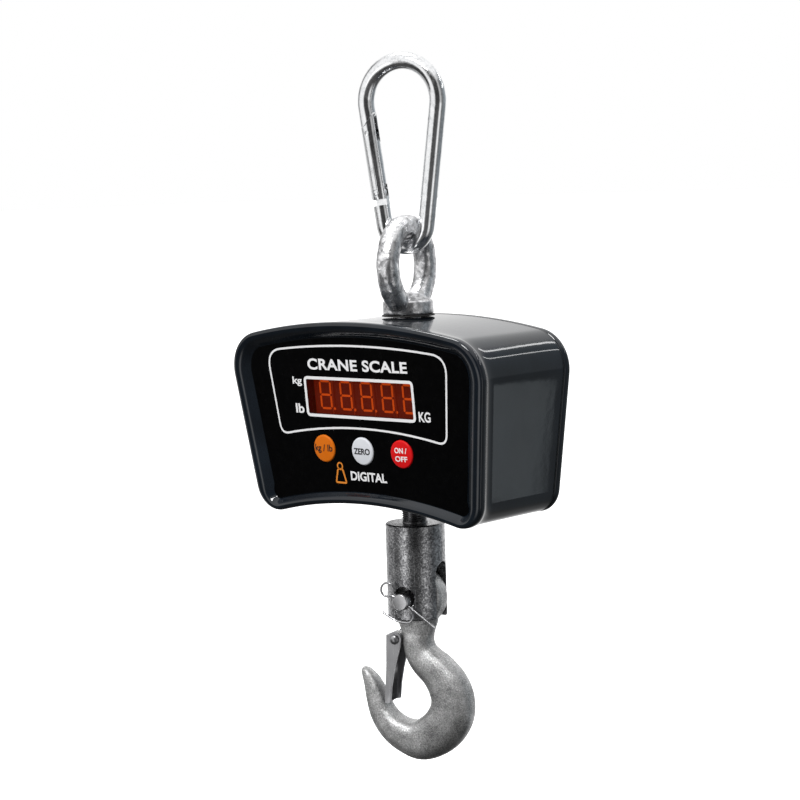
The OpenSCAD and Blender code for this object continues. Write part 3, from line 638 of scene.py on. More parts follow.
housing = {
    "halfWidth": 114.4, "sideLean": 7.6, "height": 127.0, "topRadius": 470.0, "lowRadius": 340.0,
    "cornerTop": 28.0, "cornerLow": 19.0, "widest": baseZ - 35, "rimLow": 0.42, "rimTop": 0.26,
    "arcSteps": 26, "cornerSteps": 22, "sideSteps": 10,
}


def outlineOf(h):
    lean = radians(h["sideLean"])
    sideN = np.array([cos(lean), -sin(lean)])
    sideT = np.array([sin(lean), cos(lean)])
    arcT = np.array([0, topZ - h["topRadius"]])
    arcB = np.array([0, topZ - h["height"] - h["lowRadius"]])

    def corner(r, c, reach):
        q = np.array([h["halfWidth"], h["widest"]]) - r * sideN - c
        k = q @ sideT
        return c + q + sideT * (-k + sqrt(k * k - q @ q + reach * reach))

    corT = corner(h["cornerTop"], arcT, h["topRadius"] - h["cornerTop"])
    corB = corner(h["cornerLow"], arcB, h["lowRadius"] + h["cornerLow"])
    angT = atan2(corT[1] - arcT[1], corT[0] - arcT[0])
    angB = atan2(corB[1] - arcB[1], corB[0] - arcB[0])

    def ray(c, r, a, s):
        return (c[0] + r * cos(a), c[1] + r * sin(a), s * cos(a), s * sin(a))

    n, m, k = h["arcSteps"], h["cornerSteps"], h["sideSteps"]
    half = [ray(arcB, h["lowRadius"], pi / 2 + (angB - pi / 2) * i / n, -1) for i in range(n)]
    half += [ray(corB, h["cornerLow"], (angB - pi) * (1 - i / m) - lean * i / m, 1) for i in range(m + 1)]
    low, high = half[-1], ray(corT, h["cornerTop"], -lean, 1)
    half += [tuple(low[c] + (high[c] - low[c]) * i / k for c in range(4)) for i in range(1, k)]
    half += [ray(corT, h["cornerTop"], -lean * (1 - i / m) + angT * i / m, 1) for i in range(m + 1)]
    half += [ray(arcT, h["topRadius"], angT + (pi / 2 - angT) * i / n, 1) for i in range(1, n + 1)]
    whole = half + [(-x, z, -a, b) for x, z, a, b in half[-2:0:-1]]
    return np.array(whole)


outline = outlineOf(housing)


def ring(d, y, lean, front=0.0, waist=0.0):
    # one ring: inset d, depth y, share of the forward lean, front rim weighting, side waist
    x, z, nx, nz = outline.T
    rim = 1 - front * np.where(nz < 0, housing["rimLow"], housing["rimTop"]) * nz * nz
    k = d * rim + waist * nx * nx
    zz = z - k * nz
    return np.stack([x - k * nx, y - lean * tan(panelLean) * (zz - midZ), zz], 1)


def shell(rows):
    verts = np.concatenate([ring(*r) for r in rows])
    return verts.tolist(), skinFaces(len(rows), len(outline))


print("building the housing")
py = panelY
rimRows = [
    (14.0, -py, 1, 1, 0), (13.6, -py - 0.25, 1, 1, 0), (11.2, -py - 2.0, 1, 1, 0), (8.4, -py - 4.0, 1, 1, 0),
    (6.6, -py - 4.75, 1, 1, 0),
    (4.6, -py - 5.0, 1, 1, 0), (3.0, -py - 4.95, 1, 1, 0), (1.0, -py - 4.2, 1, 1, 0), (0.2, -py - 2.9, 1, 1, 0),
    (0, -py - 1, 1, 1, 0),
    (0.05, -py + 0.8, 1, 0, 0.2), (0.3, -py + 2.4, 1, 0, 0.8), (0.5, -py + 4.6, 1, 0, 1.3),
    (0.7, -py + 9, 1, 0, 1.7),
    (0.8, -py + 16, 0.9, 0, 1.8), (0.8, -22, 0.55, 0, 2.0), (0.8, 5, 0.15, 0, 2.0), (0.7, 28, 0, 0, 1.7),
    (0.6, 29.6, 0, 0, 1.5)]
outer = [(14.0, -py, 1, 1, 0)] + curved(rimRows[1:], 3) + [(0.9, 30, 0, 0, 1.5)]
inner = [(4.4, 30, 0, 0, 2), (4.8, 29.6, 0, 0, 2), (4.8, 5, 0.15, 0, 2), (4.8, -30, 0.65, 0, 2),
         (4.8, -py + 4, 1, 0, 2)]
verts, faces = shell(outer + inner)
windowBox = {"x": 1.0, "z": 21.0, "width": 96.4, "height": 25.0}
keys = {"pitch": 35.4, "z": -15.6, "diameter": 19.4}
w = windowBox


def windowSpan(room, place="x", size="width"):
    return w[place] - w[size] / 2 + room, w[place] + w[size] / 2 - room


def panelCutters(depth):
    cuts = [cutter(block(*windowSpan(0), -4, depth, *windowSpan(0, "z", "height")), onPanel)]
    for i in (-1, 0, 1):
        cuts.append(cutter(rod(keys["diameter"] / 2 + 0.4, -depth, 4),
                           onPanel @ lift((i * keys["pitch"], 0, keys["z"])) @ toFront))
    return cuts


case = build("housing_shell", verts, faces, still, finish["black_paint"], 30)
cut(case, *panelCutters(10), cutter(rod(9.4, topZ - 12, topZ + 8), still),
    cutter(rod(14.0, topZ - 135, topZ - 115), still))
give(case, "scale_body", "black_paint", "housing")

verts, faces = shell([(14.6, -py - 0.4, 1, 1, 0), (14.6, -py, 1, 1, 0)])
film = build("panel_film", verts, faces, still, finish["film"], 30)
cut(film, *panelCutters(3))
give(film, "scale_body", "film", "front_overlay")

coverRows = [(4.8, 32.4, 0, 0, 2), (4.8, 30.8, 0, 0, 2), (0.9, 30.8, 0, 0, 1.4)] + curved(
    [(0.7, 30.95, 0, 0, 1.35), (0.6, 31.4, 0, 0, 1.2), (0.5, 32.4, 0, 0, 1.0), (0.4, 34, 0, 0, 0.8),
     (0.9, 35.6, 0, 0, 0.5), (2.0, 36.6, 0, 0, 0.2), (3.4, 37, 0, 0, 0)], 4) + curved(
    [(3.4, 37, 0, 0, 0), (14.6, 37, 0, 0, 0), (15.2, 36.8, 0, 0, 0), (16.0, 36.2, 0, 0, 0),
     (16.8, 36, 0, 0, 0)], 3)
verts, faces = shell(coverRows)
cover = build("rear_lid", verts, faces, still, finish["black_paint"], 30)
half = outlineOf({**housing, "arcSteps": 7, "cornerSteps": 7, "sideSteps": 1})
posts = []
for s in (-1, 1):
    for q in (half[11], (half[14] + half[15]) / 2, half[19]):
        posts.append((s * (q[0] - 9.4 * q[2]), q[1] - 9.4 * q[3]))
low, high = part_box("charge_socket")
socket = (low[0] / mm + 7.5, (low[2] + high[2]) / 2 / mm)
holes = [cutter(rod(4.2, 0, 6, 40), lift((x, 33.8, z)) @ toBack) for x, z in posts]
holes.append(cutter(rod(6.05, -8, 8, 40), lift((socket[0], 36, socket[1])) @ toBack))
cut(cover, *holes)
give(cover, "scale_body", "black_paint", "rear_cover")
print("housing done", len(case.data.polygons))


printArt = {
    "halfTop": 82.0, "halfLow": 75.6, "topMid": 57.6, "lowMid": 0.2, "topRadius": 640.0, "lowRadius": 380.0,
    "line": 1.45,
    "cornerTop": 13.0, "cornerLow": 7.5, "proud": 0.06, "seat": -0.4,
    "frameLine": 2.1, "frameGap": 0.75, "frameCorner": 2.6, "frameProud": 0.1,
}


def ribbon(path, width, proud):
    # closed printed line with a little thickness; path in panel x and z
    height = printArt["seat"]
    n = len(path)
    verts = []
    for i, (x, z) in enumerate(path):
        a, b = path[(i - 1) % n], path[(i + 1) % n]
        t = Vector((b[0] - a[0], b[1] - a[1])).normalized()
        nx, nz = -t.y * width / 2, t.x * width / 2
        verts += [(x + nx, height, z + nz), (x - nx, height, z - nz), (x - nx, height - proud, z - nz),
                  (x + nx, height - proud, z + nz)]
    faces = []
    for i in range(n):
        for j in range(4):
            a, b = i * 4 + j, i * 4 + (j + 1) % 4
            c, d = ((i + 1) % n) * 4 + (j + 1) % 4, ((i + 1) % n) * 4 + j
            faces.append((a, b, c, d))
    return verts, faces


def roundedPath(points, radii, steps):
    out = []
    n = len(points)
    for i in range(n):
        p, a, b = Vector(points[i]), Vector(points[i - 1]), Vector(points[(i + 1) % n])
        r = radii[i]
        if r <= 0:
            out.append(tuple(p))
            continue
        u, v = (a - p).normalized(), (b - p).normalized()
        p0, p1 = p + u * r, p + v * r
        for k in range(steps + 1):
            t = k / steps
            # quadratic blend of the corner
            out.append(tuple(p0 * (1 - t) ** 2 + p * 2 * t * (1 - t) + p1 * t * t))
    return out


def arcHeight(x, mid, radius):
    return mid - (radius - sqrt(radius * radius - x * x))


art = printArt
topArc = [(x, arcHeight(x, art["topMid"], art["topRadius"]))
          for x in np.linspace(art["halfTop"], -art["halfTop"], 25)]
lowArc = [(x, arcHeight(x, art["lowMid"], art["lowRadius"]))
          for x in np.linspace(-art["halfLow"], art["halfLow"], 25)]
loop = topArc + lowArc
radii = [art["cornerTop"]] + [0] * 23 + [art["cornerTop"]] + [art["cornerLow"]] + [0] * 23 + [art["cornerLow"]]
trimmed, kept = [], []
for p, r in zip(loop, radii):
    side, corner = ("halfTop", "cornerTop") if p[1] > 25 else ("halfLow", "cornerLow")
    if r > 0 or abs(abs(p[0]) - art[side]) > art[corner]:
        trimmed.append(p)
        kept.append(r)
linePath = roundedPath(trimmed, kept, 10)
prints = [(*ribbon(linePath, art["line"], art["proud"]), onPanel)]
hw, hh = w["width"] / 2 + art["frameGap"], w["height"] / 2 + art["frameGap"]
corners = [(w["x"] + i * hw, w["z"] + k * hh) for i, k in ((1, 1), (-1, 1), (-1, -1), (1, -1))]
framePath = roundedPath(corners, [art["frameCorner"]] * 4, 8)
prints.append((*ribbon(framePath, art["frameLine"], art["frameProud"]), onPanel))
give(build("panel_lines", *stacked(prints), still, whiteInk, 30), "scale_body", "film")


def words(name, text, x, z, height, width, material, bold, gap=1.0, face=-0.4, dome=None, proud=0.05):
    # letters as thin raised ink; height is the cap height in millimetres
    curve = bpy.data.curves.new(name, "FONT")
    curve.body = text
    curve.size = 1.0
    curve.align_x = "CENTER"
    curve.space_character = gap
    curve.offset = bold * 0.25
    curve.resolution_u = 6
    obj = linked(name, curve)
    graph = bpy.context.evaluated_depsgraph_get()
    mesh = bpy.data.meshes.new_from_object(obj.evaluated_get(graph))
    bpy.data.objects.remove(obj)
    xs = [v.co.x for v in mesh.vertices]
    k = height / 0.72
    kx = width / (max(xs) - min(xs))
    mid = (max(xs) + min(xs)) / 2
    shape = bmesh.new()
    shape.from_mesh(mesh)
    bmesh.ops.remove_doubles(shape, verts=shape.verts, dist=1e-5)
    raised = bmesh.ops.extrude_face_region(shape, geom=shape.faces[:])
    top = [v for v in raised["geom"] if isinstance(v, bmesh.types.BMVert)]
    for v in shape.verts:
        v.co = Vector(((v.co.x - mid) * kx, face, v.co.y * k))
    for v in top:
        v.co.y -= proud
    if dome:
        for v in shape.verts:
            r2 = v.co.x ** 2 + (v.co.z - dome["centre"]) ** 2
            v.co.y -= dome["rise"](sqrt(r2))
    bmesh.ops.transform(shape, matrix=toMetres @ onPanel @ lift((x, 0, z)), verts=shape.verts)
    shape.to_mesh(mesh)
    shape.free()
    return finishMesh(name, mesh, material, 30)


def wordSet(name, rows, body):
    made = [words(name + str(i), **row) for i, row in enumerate(rows)]
    if len(made) > 1:
        with bpy.context.temp_override(active_object=made[0], object=made[0], selected_objects=made,
                                       selected_editable_objects=made):
            bpy.ops.object.join()
    made[0].name = name
    return give(made[0], body, "film")


wordSet("panel_words", [
    dict(text="CRANE SCALE", x=1.6, z=40.4, height=7.6, width=91, material=whiteInk, bold=0.12, gap=1.05),
    dict(text="kg", x=-55.4, z=29.6, height=5.0, width=8.8, material=whiteInk, bold=0.10),
    dict(text="lb", x=-55.2, z=9.0, height=6.6, width=8.0, material=whiteInk, bold=0.10),
    dict(text="DIGITAL", x=3.0, z=-36.6, height=6.2, width=33, material=whiteInk, bold=0.12),
    dict(text="KG", x=58.6, z=7.8, height=6.8, width=10.2, material=whiteInk, bold=0.10),
], "scale_body")

# a plain weight sign in orange beside the lower word
weight = roundedPath([(-20.6, -29.6), (-25.0, -29.6), (-27.6, -39.2), (-18.0, -39.2)], [1.2] * 4, 6)
handle = [(-22.8 + 2.3 * cos(radians(20 * i)), -27.4 + 2.3 * sin(radians(20 * i))) for i in range(18)]
sign = stacked([(*ribbon(path, wide, art["proud"]), onPanel) for path, wide in ((weight, 1.3), (handle, 1.1))])
give(build("panel_sign", *sign, still, orangeInk, 30), "scale_body", "film")

keyShape = {"radius": 9.7, "shoulder": 0.5, "bead": 1.4, "crown": 0.35, "flange": 11.2, "seat": -4.5,
            "back": -6.6}


def domeRise(r):
    k = keyShape
    rr = min(r / (k["radius"] - 1.5), 1.0)
    return k["bead"] + k["crown"] * (1 - rr * rr)


def keyProfile():
    # stem, flange, bead round the edge, then the domed face
    k = keyShape
    r, edge, flange, back, seat = k["radius"], k["shoulder"], k["flange"], k["back"], k["seat"]
    rows = [(0.001, back), (2.4, back), (2.5, -6.5), (2.5, -6.0), (11.1, -6.0), (flange, -5.9), (flange, -4.6),
            (11.1, seat), (r, seat), (r, edge)]
    rows += [(r - k["bead"] * (1 - cos(radians(7.5 * i))), edge + 0.9 * sin(radians(7.5 * i)))
             for i in range(1, 11)]
    rows += [(8.2 * (1 - i / 12), domeRise(8.2 * (1 - i / 12))) for i in range(12)]
    return rows + [(0.001, k["bead"] + k["crown"])]


labels = {
    "unit": ("orange_key", [dict(text="kg / lb", x=0, z=-1.6, height=4.8, width=16.0, material=darkInk,
                                 bold=0.08, proud=0.09)]),
    "zero": ("white_key", [dict(text="ZERO", x=0, z=-2.0, height=4.2, width=14.6, material=darkInk, bold=0.12,
                                proud=0.09)]),
    "power": ("red_key", [dict(text="ON /", x=0, z=0.9, height=3.7, width=10.8, material=whiteInk, bold=0.10,
                               proud=0.09),
                          dict(text="OFF", x=0, z=-4.9, height=3.7, width=10.8, material=whiteInk, bold=0.10,
                               proud=0.09)]),
}
for i, (name, (slot, rows)) in enumerate(labels.items()):
    x = (i - 1) * keys["pitch"]
    cap = build(name + "_cap", *lathe(keyProfile(), 96), onPanel @ lift((x, 0, keys["z"])) @ toFront,
                finish[slot], 35)
    give(cap, name + "_button", slot, name + "_key")
    for row in rows:
        row["dome"] = {"centre": -row["z"], "rise": domeRise}
        row["face"] = 0.0
        row["x"] = x
        row["z"] += keys["z"]
    wordSet(name + "_label", rows, name + "_button")
print("panel print and keys done")


pane = build("window_pane", *block(*windowSpan(0.1), -0.2, 2.2, *windowSpan(0.1, "z", "height")), onPanel,
             finish["window"], 30)
softened(pane, 0.15, 2)
give(pane, "scale_body", "window", "display_window")

digit = {"count": 5, "pitch": 19.0, "width": 9.4, "height": 19.2, "stroke": 1.5, "gap": 0.45, "depth": 6.3}


def segments(d):
    # seven bars with pointed ends and a round point
    a, b, s, g = d["width"] / 2, d["height"] / 2, d["stroke"] / 2, d["gap"]

    def bar(x0, z0, x1, z1):
        t = Vector((x1 - x0, z1 - z0)).normalized()
        n = Vector((-t.y, t.x)) * s
        p, q = Vector((x0, z0)) + t * g, Vector((x1, z1)) - t * g
        return [p, p + t * s + n, q - t * s + n, q, q - t * s - n, p + t * s - n]

    bars = [bar(-a, b, a, b), bar(-a, 0, a, 0), bar(-a, -b, a, -b), bar(-a, 0, -a, b), bar(a, 0, a, b),
            bar(-a, -b, -a, 0), bar(a, -b, a, 0)]
    dot = [Vector((a + 2.6 + 1.0 * cos(radians(30 * i)), -b + 1.0 * sin(radians(30 * i)))) for i in range(12)]
    verts, faces = [], []
    for shape in bars + [dot]:
        base, n = len(verts), len(shape)
        verts += [(p.x, 0.0, p.y) for p in shape] + [(p.x, -0.15, p.y) for p in shape]
        faces += [tuple(base + i for i in range(n)), tuple(base + n + i for i in range(n - 1, -1, -1))]
        faces += [(base + i, base + n + i, base + n + (i + 1) % n, base + (i + 1) % n) for i in range(n)]
    return verts, faces


def moduleX(i):
    return w["x"] + i * digit["pitch"]


middle = digit["count"] // 2
spots = [onPanel @ lift((moduleX(i - middle) + 1.4, digit["depth"] - 0.02, w["z"] + 0.2))
         for i in range(digit["count"])]
give(copiesAt("digit_segments", segments(digit), spots, segmentGlow), "scale_body", "led")
# glowing slats between the modules: painted glow, not lamps
edges = [onPanel @ lift((moduleX(i - 1.5) - 1.6, digit["depth"] - 0.15,
                         w["z"])) @ Matrix.Rotation(radians(3 - 2 * i), 4, "Y")
         for i in range(4)]
give(copiesAt("digit_edges", block(-0.22, 0.22, -0.1, 0.1, -12.6, 12.6), edges, edgeGlow), "scale_body", "led")
modules = stacked([(*block(-9.2, 9.2, 0, 6.0, -13.8, 13.8), lift((moduleX(i - middle), digit["depth"], w["z"])))
                   for i in range(digit["count"])])
# the module blocks carry the face finish, so they show its painted glow
softModules = build("digit_modules", *modules, onPanel, finish["led"], 30)
softened(softModules, 0.2, 1)
give(softModules, "scale_body", "led", "display_digits")
print("display done")


snap = {
    "wire": 6.0, "sides": 40, "topBow": 28.0, "topZ": -22.0, "lowBow": 16.5, "lowZ": -105.5,
    "nose": 12.4, "foot": 68.4, "catch": -17.2, "pivot": -59.2,
}
legA = asin((snap["topBow"] - snap["lowBow"]) / (snap["topZ"] - snap["lowZ"]))
gateTop = (-snap["topBow"] * cos(legA), 0, snap["topZ"] - snap["topBow"] * sin(legA))
onLeg = hang @ lift(gateTop) @ Matrix.Rotation(-legA, 4, "Y")


def onBow(end, a):
    return Vector((snap[end + "Bow"] * cos(a), 0, snap[end + "Z"] + snap[end + "Bow"] * sin(a)))


legDir = Vector((sin(legA), 0, -cos(legA)))
start = onBow("top", pi + legA)
path = [start + snap["nose"] * legDir]
path += [onBow("top", (pi + legA) * (1 - i / 60) - legA * i / 60) for i in range(61)]
path += [onBow("low", -legA - (pi - 2 * legA) * i / 44) for i in range(45)]
path += [start + snap["foot"] * legDir]
bar = wireAlong("carabiner_bar", path, snap["wire"], snap["sides"], hang, finish["bright_zinc"])
cut(bar, cutter(block(0, 20, -7, 7, 0, 12),
                onLeg @ lift((-1.6, 0, -13)) @ Matrix.Rotation(radians(38), 4, "Y")))
bar = joined([bar, build("tang", *block(-4.4, 4.2, -2, 2, -21, -1), onLeg, finish["bright_zinc"], 30),
              build("foot", *block(-2.6, 5.6, -2.1, 2.1, -74, -62.5), onLeg, finish["bright_zinc"], 30),
              build("eye", *rod(4.9, -2.1, 2.1, 48), onLeg @ lift((0, 0, snap["pivot"])) @ toFront,
                    finish["bright_zinc"], 30)], "carabiner_bar")
cut(bar, cutter(rod(2, -4, 4, 32), onLeg @ lift((0, 0, snap["catch"])) @ toFront),
    cutter(block(0, 8, -3, 3, -19.2, -15.2), onLeg),
    cutter(rod(2.03, -12, 12, 32), onLeg @ lift((0, 0, snap["pivot"])) @ toFront))
softened(bar, 0.35, 3, 32)
paint(bar, finish["bright_zinc"])
give(bar, "carabiner", "bright_zinc", "carabiner_frame")
refined("carabiner_gate", "gate", "bright_zinc", 32, 0.3, 2)
refined("gate_pivot_rivet", "carabiner", "bright_zinc", 32, 0.15)
refined("gate_catch_pin", "gate", "bright_zinc", 32, 0.15)
print("carabiner done")

ringShape = {"radius": 28, "wide": 7.7, "thick": 7.9, "steps": 120, "tubeSteps": 40, "square": 0.80}
ringAt = hang @ lift((0, 0, ringZ)) @ Matrix.Rotation(pi / 2, 4, "Y")


def squared(value, power):
    return abs(value) ** power * (1 if value >= 0 else -1)


def ringMesh(k):
    # a ring whose section is a little squared, as forged
    around, tube, power = k["steps"], k["tubeSteps"], k["square"]
    verts, faces = [], []
    for i in range(around):
        a, there = 2 * pi * i / around, (i + 1) % around
        for j in range(tube):
            b, beside = 2 * pi * j / tube, (j + 1) % tube
            out = k["radius"] + k["wide"] * squared(cos(b), power)
            verts.append((out * cos(a), out * sin(a), k["thick"] * squared(sin(b), power)))
            faces.append((i * tube + j, i * tube + beside, there * tube + beside, there * tube + j))
    return verts, faces


collar = [(0.001, 0), (17.2, 0), (17.9, 0.7), (18, 1.4), (18, 8.6), (17.4, 9.8), (15.6, 10.8), (13.6, 11.5),
          (11.0, 13.0), (8.6, 15.0), (0.001, 15.5)]
collar = lathe([(r, baseZ + z) for r, z in collar], 96)
eye = build("lifting_eye", *stacked([(*ringMesh(ringShape), ringAt), (*collar, still)]), still,
            finish["forged_zinc"], 0)
remeshed(eye, 0.62, 6)
cut(eye, cutter(block(-40, 40, -40, 40, baseZ - 12, baseZ + 0.02), still))
lumps = bpy.data.textures.new("forgeLumps", "CLOUDS")
lumps.noise_scale = 0.008
m = eye.modifiers.new("forge", "DISPLACE")
m.texture = lumps
m.texture_coords = "LOCAL"
m.strength = 0.0008
m.mid_level = 0.8
applied(eye)
eased(eye, finish["forged_zinc"])
give(eye, "scale_body", "forged_zinc", "eye_bolt")
shank = [(r, baseZ + z) for r, z in ((0.001, -27), (8.3, -27), (8.9, -26), (8.9, 0.4), (0.001, 0.4))]
give(build("eye_shank", *lathe(shank, 64), still, finish["forged_zinc"], 35), "scale_body", "forged_zinc")
refined("eye_seal", "scale_body", "seal_rubber", 35, 0.2)
print("lifting eye done", len(eye.data.polygons))


stud = {"radius": 9.0, "pitch": 1.5, "depth": 0.92, "steps": 64, "perPitch": 6}


def helix(k, z0, z1):
    # true screw thread: the ridge height follows angle and height together
    radius, depth, pitch, steps = k["radius"], k["depth"], k["pitch"], k["steps"]
    n = int((z1 - z0) / pitch * k["perPitch"])
    verts = []
    for i in range(n + 1):
        z = z0 + (z1 - z0) * i / n
        fade = min(1.0, (z - z0) / pitch, (z1 - z) / pitch)
        for j in range(steps):
            u = (z / pitch - j / steps) % 1.0
            ridge = 1 - abs(2 * u - 1)
            r = radius - depth * (1 - min(1.0, ridge * 1.15)) * max(fade, 0)
            verts.append((r * cos(2 * pi * j / steps), r * sin(2 * pi * j / steps), z))
    return verts, skinFaces(n + 1, steps)


studParts = [helix(stud, headZ + 0.2, topZ - 119), rod(8.95, topZ - 119.3, topZ - 65, 64, 0.5),
             rod(8.95, headZ - 13.6, headZ + 0.4, 64), rod(8.6, headZ - 30.2, headZ - 13.4, 64, 0.6)]
studPiece = build("load_stud", *stacked([(*shape, still) for shape in studParts]), still, finish["dark_steel"],
                  50)
give(studPiece, "scale_body", "dark_steel", "lower_stud")
refined("bottom_seal", "scale_body", "seal_rubber", 35, 0.25)

refined("swivel_head", "swivel", "plated_steel", 32, 0.5, 3)
refined("cross_pin", "swivel", "plated_steel", 32, 0.3, 3, pinSteel)
refined("swivel_nut", "scale_body", "plated_steel", 32, 0.2)
refined("nut_pin", "scale_body", "plated_steel", 32, 0.2)

# split pin: one wire, straight leg out, round the head, second leg curled back
splitPin = {"wire": 0.78, "turn": 35.0, "y": -23.6}
stations = [(30.5, 0.8), (20, 0.8), (8, 0.8), (0, 0.8), (-7, 0.8), (-9.2, 1.9), (-11, 3.9), (-14, 5.0),
            (-17.2, 3.6), (-18.6, 0), (-17.2, -3.6),
            (-14, -5.0), (-11, -3.9), (-9.2, -1.9), (-7, -0.8), (0, -0.8), (6.5, -0.8), (10.5, -1.6),
            (13.3, -4.4), (13.0, -8.0), (10.6, -10.6),
            (4.0, -14.0), (-3.5, -15.2), (-8, -15.6)]
turnC, turnS = cos(radians(splitPin["turn"])), sin(radians(splitPin["turn"]))
route = curved([(x * turnC + z * turnS, 0, -x * turnS + z * turnC) for x, z in stations], 10)
pinWire = wireAlong("split_wire", route, splitPin["wire"], 14, atPin @ lift((0, splitPin["y"], 0)), pinSteel)
give(pinWire, "swivel", "bright_zinc", "split_pin")
print("swivel done")

# the hook's middle line: along, height, half width in the plane, half thickness
hookLine = [
    (0, -9, 15.0, 7.2), (0.1, -15, 15.8, 7.3), (0.2, -20.4, 14.4, 7.5), (0.3, -24.2, 12.6, 8.2),
    (0.3, -28, 11.2, 9.6), (0.5, -34, 10.6, 10.6), (3.0, -41.6, 11.0, 11.2), (8.2, -47.4, 12.0, 11.6),
    (15.8, -53.6, 13.0, 12.0), (22.8, -62.8, 14.6, 12.2), (26.2, -73.5, 15.5, 12.4), (24.2, -85.2, 16.2, 12.5),
    (15.4, -96.6, 16.0, 12.6),
    (1.5, -103.8, 14.8, 12.4), (-11, -102.6, 12.4, 11.6), (-22, -97.0, 10.6, 10.6), (-30.2, -87.6, 9.0, 9.6),
    (-34.6, -75.9, 7.9, 8.5),
    (-38.2, -66.0, 6.2, 6.9), (-41.8, -59.8, 4.4, 5.2), (-44.2, -56.8, 3.0, 3.6), (-45.8, -55.2, 1.2, 1.5)]
hookShape = {"around": 48, "square": 0.78, "swell": 0.07, "eyeBore": 6.05, "rivetBore": 2.03}
line = curved(hookLine, 8)
around, power = hookShape["around"], hookShape["square"]
verts = []
for i in range(len(line)):
    a, b = line[max(i - 1, 0)], line[min(i + 1, len(line) - 1)]
    t = Vector((b[0] - a[0], b[1] - a[1])).normalized()
    m = (t.y, -t.x)
    p = line[i]
    for j in range(around):
        ang = 2 * pi * j / around
        ca, sa = cos(ang), sin(ang)
        wide, thick = p[2] * squared(ca, power), p[3] * squared(sa, power) * (1 + hookShape["swell"] * ca)
        verts.append((p[0] + wide * m[0], thick, p[1] + wide * m[1]))
shankFaces = skinFaces(len(line), around)
eyeProfile = [(0.001, -7.5), (18.5, -7.5), (20.0, -7.1), (21.0, -6.0), (21.5, -4.1), (21.5, 4.1), (21.0, 6.0),
              (20.0, 7.1), (18.5, 7.5), (0.001, 7.5)]
atLug = lift((-15, 0, -31))
lug = [(*rod(4.6, -3.1, 3.1, 48), atLug @ toFront), (*block(-15, -3, -3.1, 3.1, -35.6, -26.4), still)]
solids = stacked([(verts, shankFaces, still), (*lathe(eyeProfile, 96), toFront)] + lug)
hook = build("forged_hook", *solids, atPin, finish["cast_zinc"], 0)
remeshed(hook, 0.7, 5)
cut(hook, cutter(rod(hookShape["eyeBore"], -20, 20, 64), atPin @ toFront),
    cutter(rod(hookShape["rivetBore"], -20, 20, 40), atPin @ atLug @ toFront))
eased(hook, finish["cast_zinc"])
give(hook, "hook_body", "cast_zinc", "hook")
print("hook done", len(hook.data.polygons))

refined("latch", "latch_body", "sheet_steel", 30, 0.45, 3)
rivetProfile = [(0.001, -9.7), (2.0, -9.7), (2.0, 9.7), (0.001, 9.7)]
domes = []
for s in (-1, 1):
    cap = [(0.001, 8.72), (3.5, 8.72)] + [(3.6 * cos(radians(9 * i)), 8.8 + 2.2 * sin(radians(9 * i)))
                                          for i in range(0, 10)] + [(0.001, 11.0)]
    domes.append((*lathe(cap, 48), Matrix.Rotation(0 if s > 0 else pi, 4, "X")))
rivet = build("latch_rivet_fine", *stacked([(*lathe(rivetProfile, 40), still)] + domes),
              atPin @ atLug @ toFront, finish["sheet_steel"], 50)
give(rivet, "hook_body", "sheet_steel", "latch_rivet")

coil = [(-3.9, -4.2, -15), (-3.5, -4.2, -8), (-2.95, -4.2, -2)]
coil += [(2.95 * cos(pi - radians(7.5 * i)), -4.2 - 1.65 * i / 72, 2.95 * sin(pi - radians(7.5 * i)))
         for i in range(73)]
coil += [(2.9, -5.85, -1.8)]
give(wireAlong("latch_coil", coil, 0.5, 14, atPin @ atLug, finish["spring_steel"]), "latch_body",
     "spring_steel", "latch_spring")

capProfile = [(0.001, 0.0), (3.6, 0.0), (3.8, 0.25), (3.8, 1.9), (3.5, 2.3), (2.9, 2.4), (1.75, 2.4),
              (1.65, 2.3), (1.65, 1.0), (0.001, 1.0)]
screwShape = stacked([(*lathe([(0.001, -14), (1.6, -14), (1.6, 0.05), (0.001, 0.05)], 24), still),
                      (*lathe(capProfile, 36), still)])
give(copiesAt("lid_screws", screwShape, [lift((x, 33.82, z)) @ toBack for x, z in posts],
              finish["bright_zinc"]), "scale_body", "bright_zinc", "rear_screws")
for name in ("charge_socket", "socket_nut", "load_cell", "battery", "battery_bracket"):
    refined(name, "scale_body", slotOf[name], 32, 0.25, 2)
print("rear and inside done")

# stage, light and camera
centre = Vector((0, 0, -0.2379))
view = {"azimuth": 40.68, "elevation": 6.15, "distance": 1.507, "lens": 96.45, "roll": -1.8, "shiftX": -0.0143,
        "shiftY": 0.0139}


def area(name, place, aim, size, power, colour=(1, 1, 1), turn=0):
    lamp = bpy.data.lights.new(name, "AREA")
    lamp.shape = "RECTANGLE"
    lamp.size, lamp.size_y = size
    lamp.energy = power
    lamp.color = colour
    obj = linked(name, lamp)
    obj.location = place
    obj.visible_camera = False
    facing = (Vector(aim) - Vector(place)).to_track_quat("-Z", "Y").to_matrix().to_4x4()
    obj.rotation_euler = (facing @ Matrix.Rotation(radians(turn), 4, "Z")).to_euler()


floorMesh = bpy.data.meshes.new("studio_floor")
half, floorZ = 60, -0.75
floorMesh.from_pydata([(x * half, y * half, floorZ) for x, y in ((-1, -1), (1, -1), (1, 1), (-1, 1))], [],
                      [(0, 1, 2, 3)])
paper = Finish("paper", Roughness=0.9, Emission_Strength=1.0)
distance = paper.add("VectorMath", {"operation": "LENGTH"}, {0: paper.place}, "Value")
# the floor glows so that it reads near white, but its emission is dimmer within about a metre of the middle: a
# painted shadow pool round the object
paper.set(Base_Color=paper.mixed(paper.noise(0.6, 2), (0.88, 0.88, 0.88), (0.92, 0.92, 0.92)),
          Emission_Color=paper.mixed(paper.spread(distance, 0.8, 1.05, 0, 1, "SMOOTHSTEP"), (0.45,) * 3,
                                     (0.75,) * 3))
floor = linked("studio_floor", floorMesh)
paint(floor, paper.material)
floor.visible_diffuse = floor.visible_glossy = floor.visible_transmission = floor.visible_shadow = False

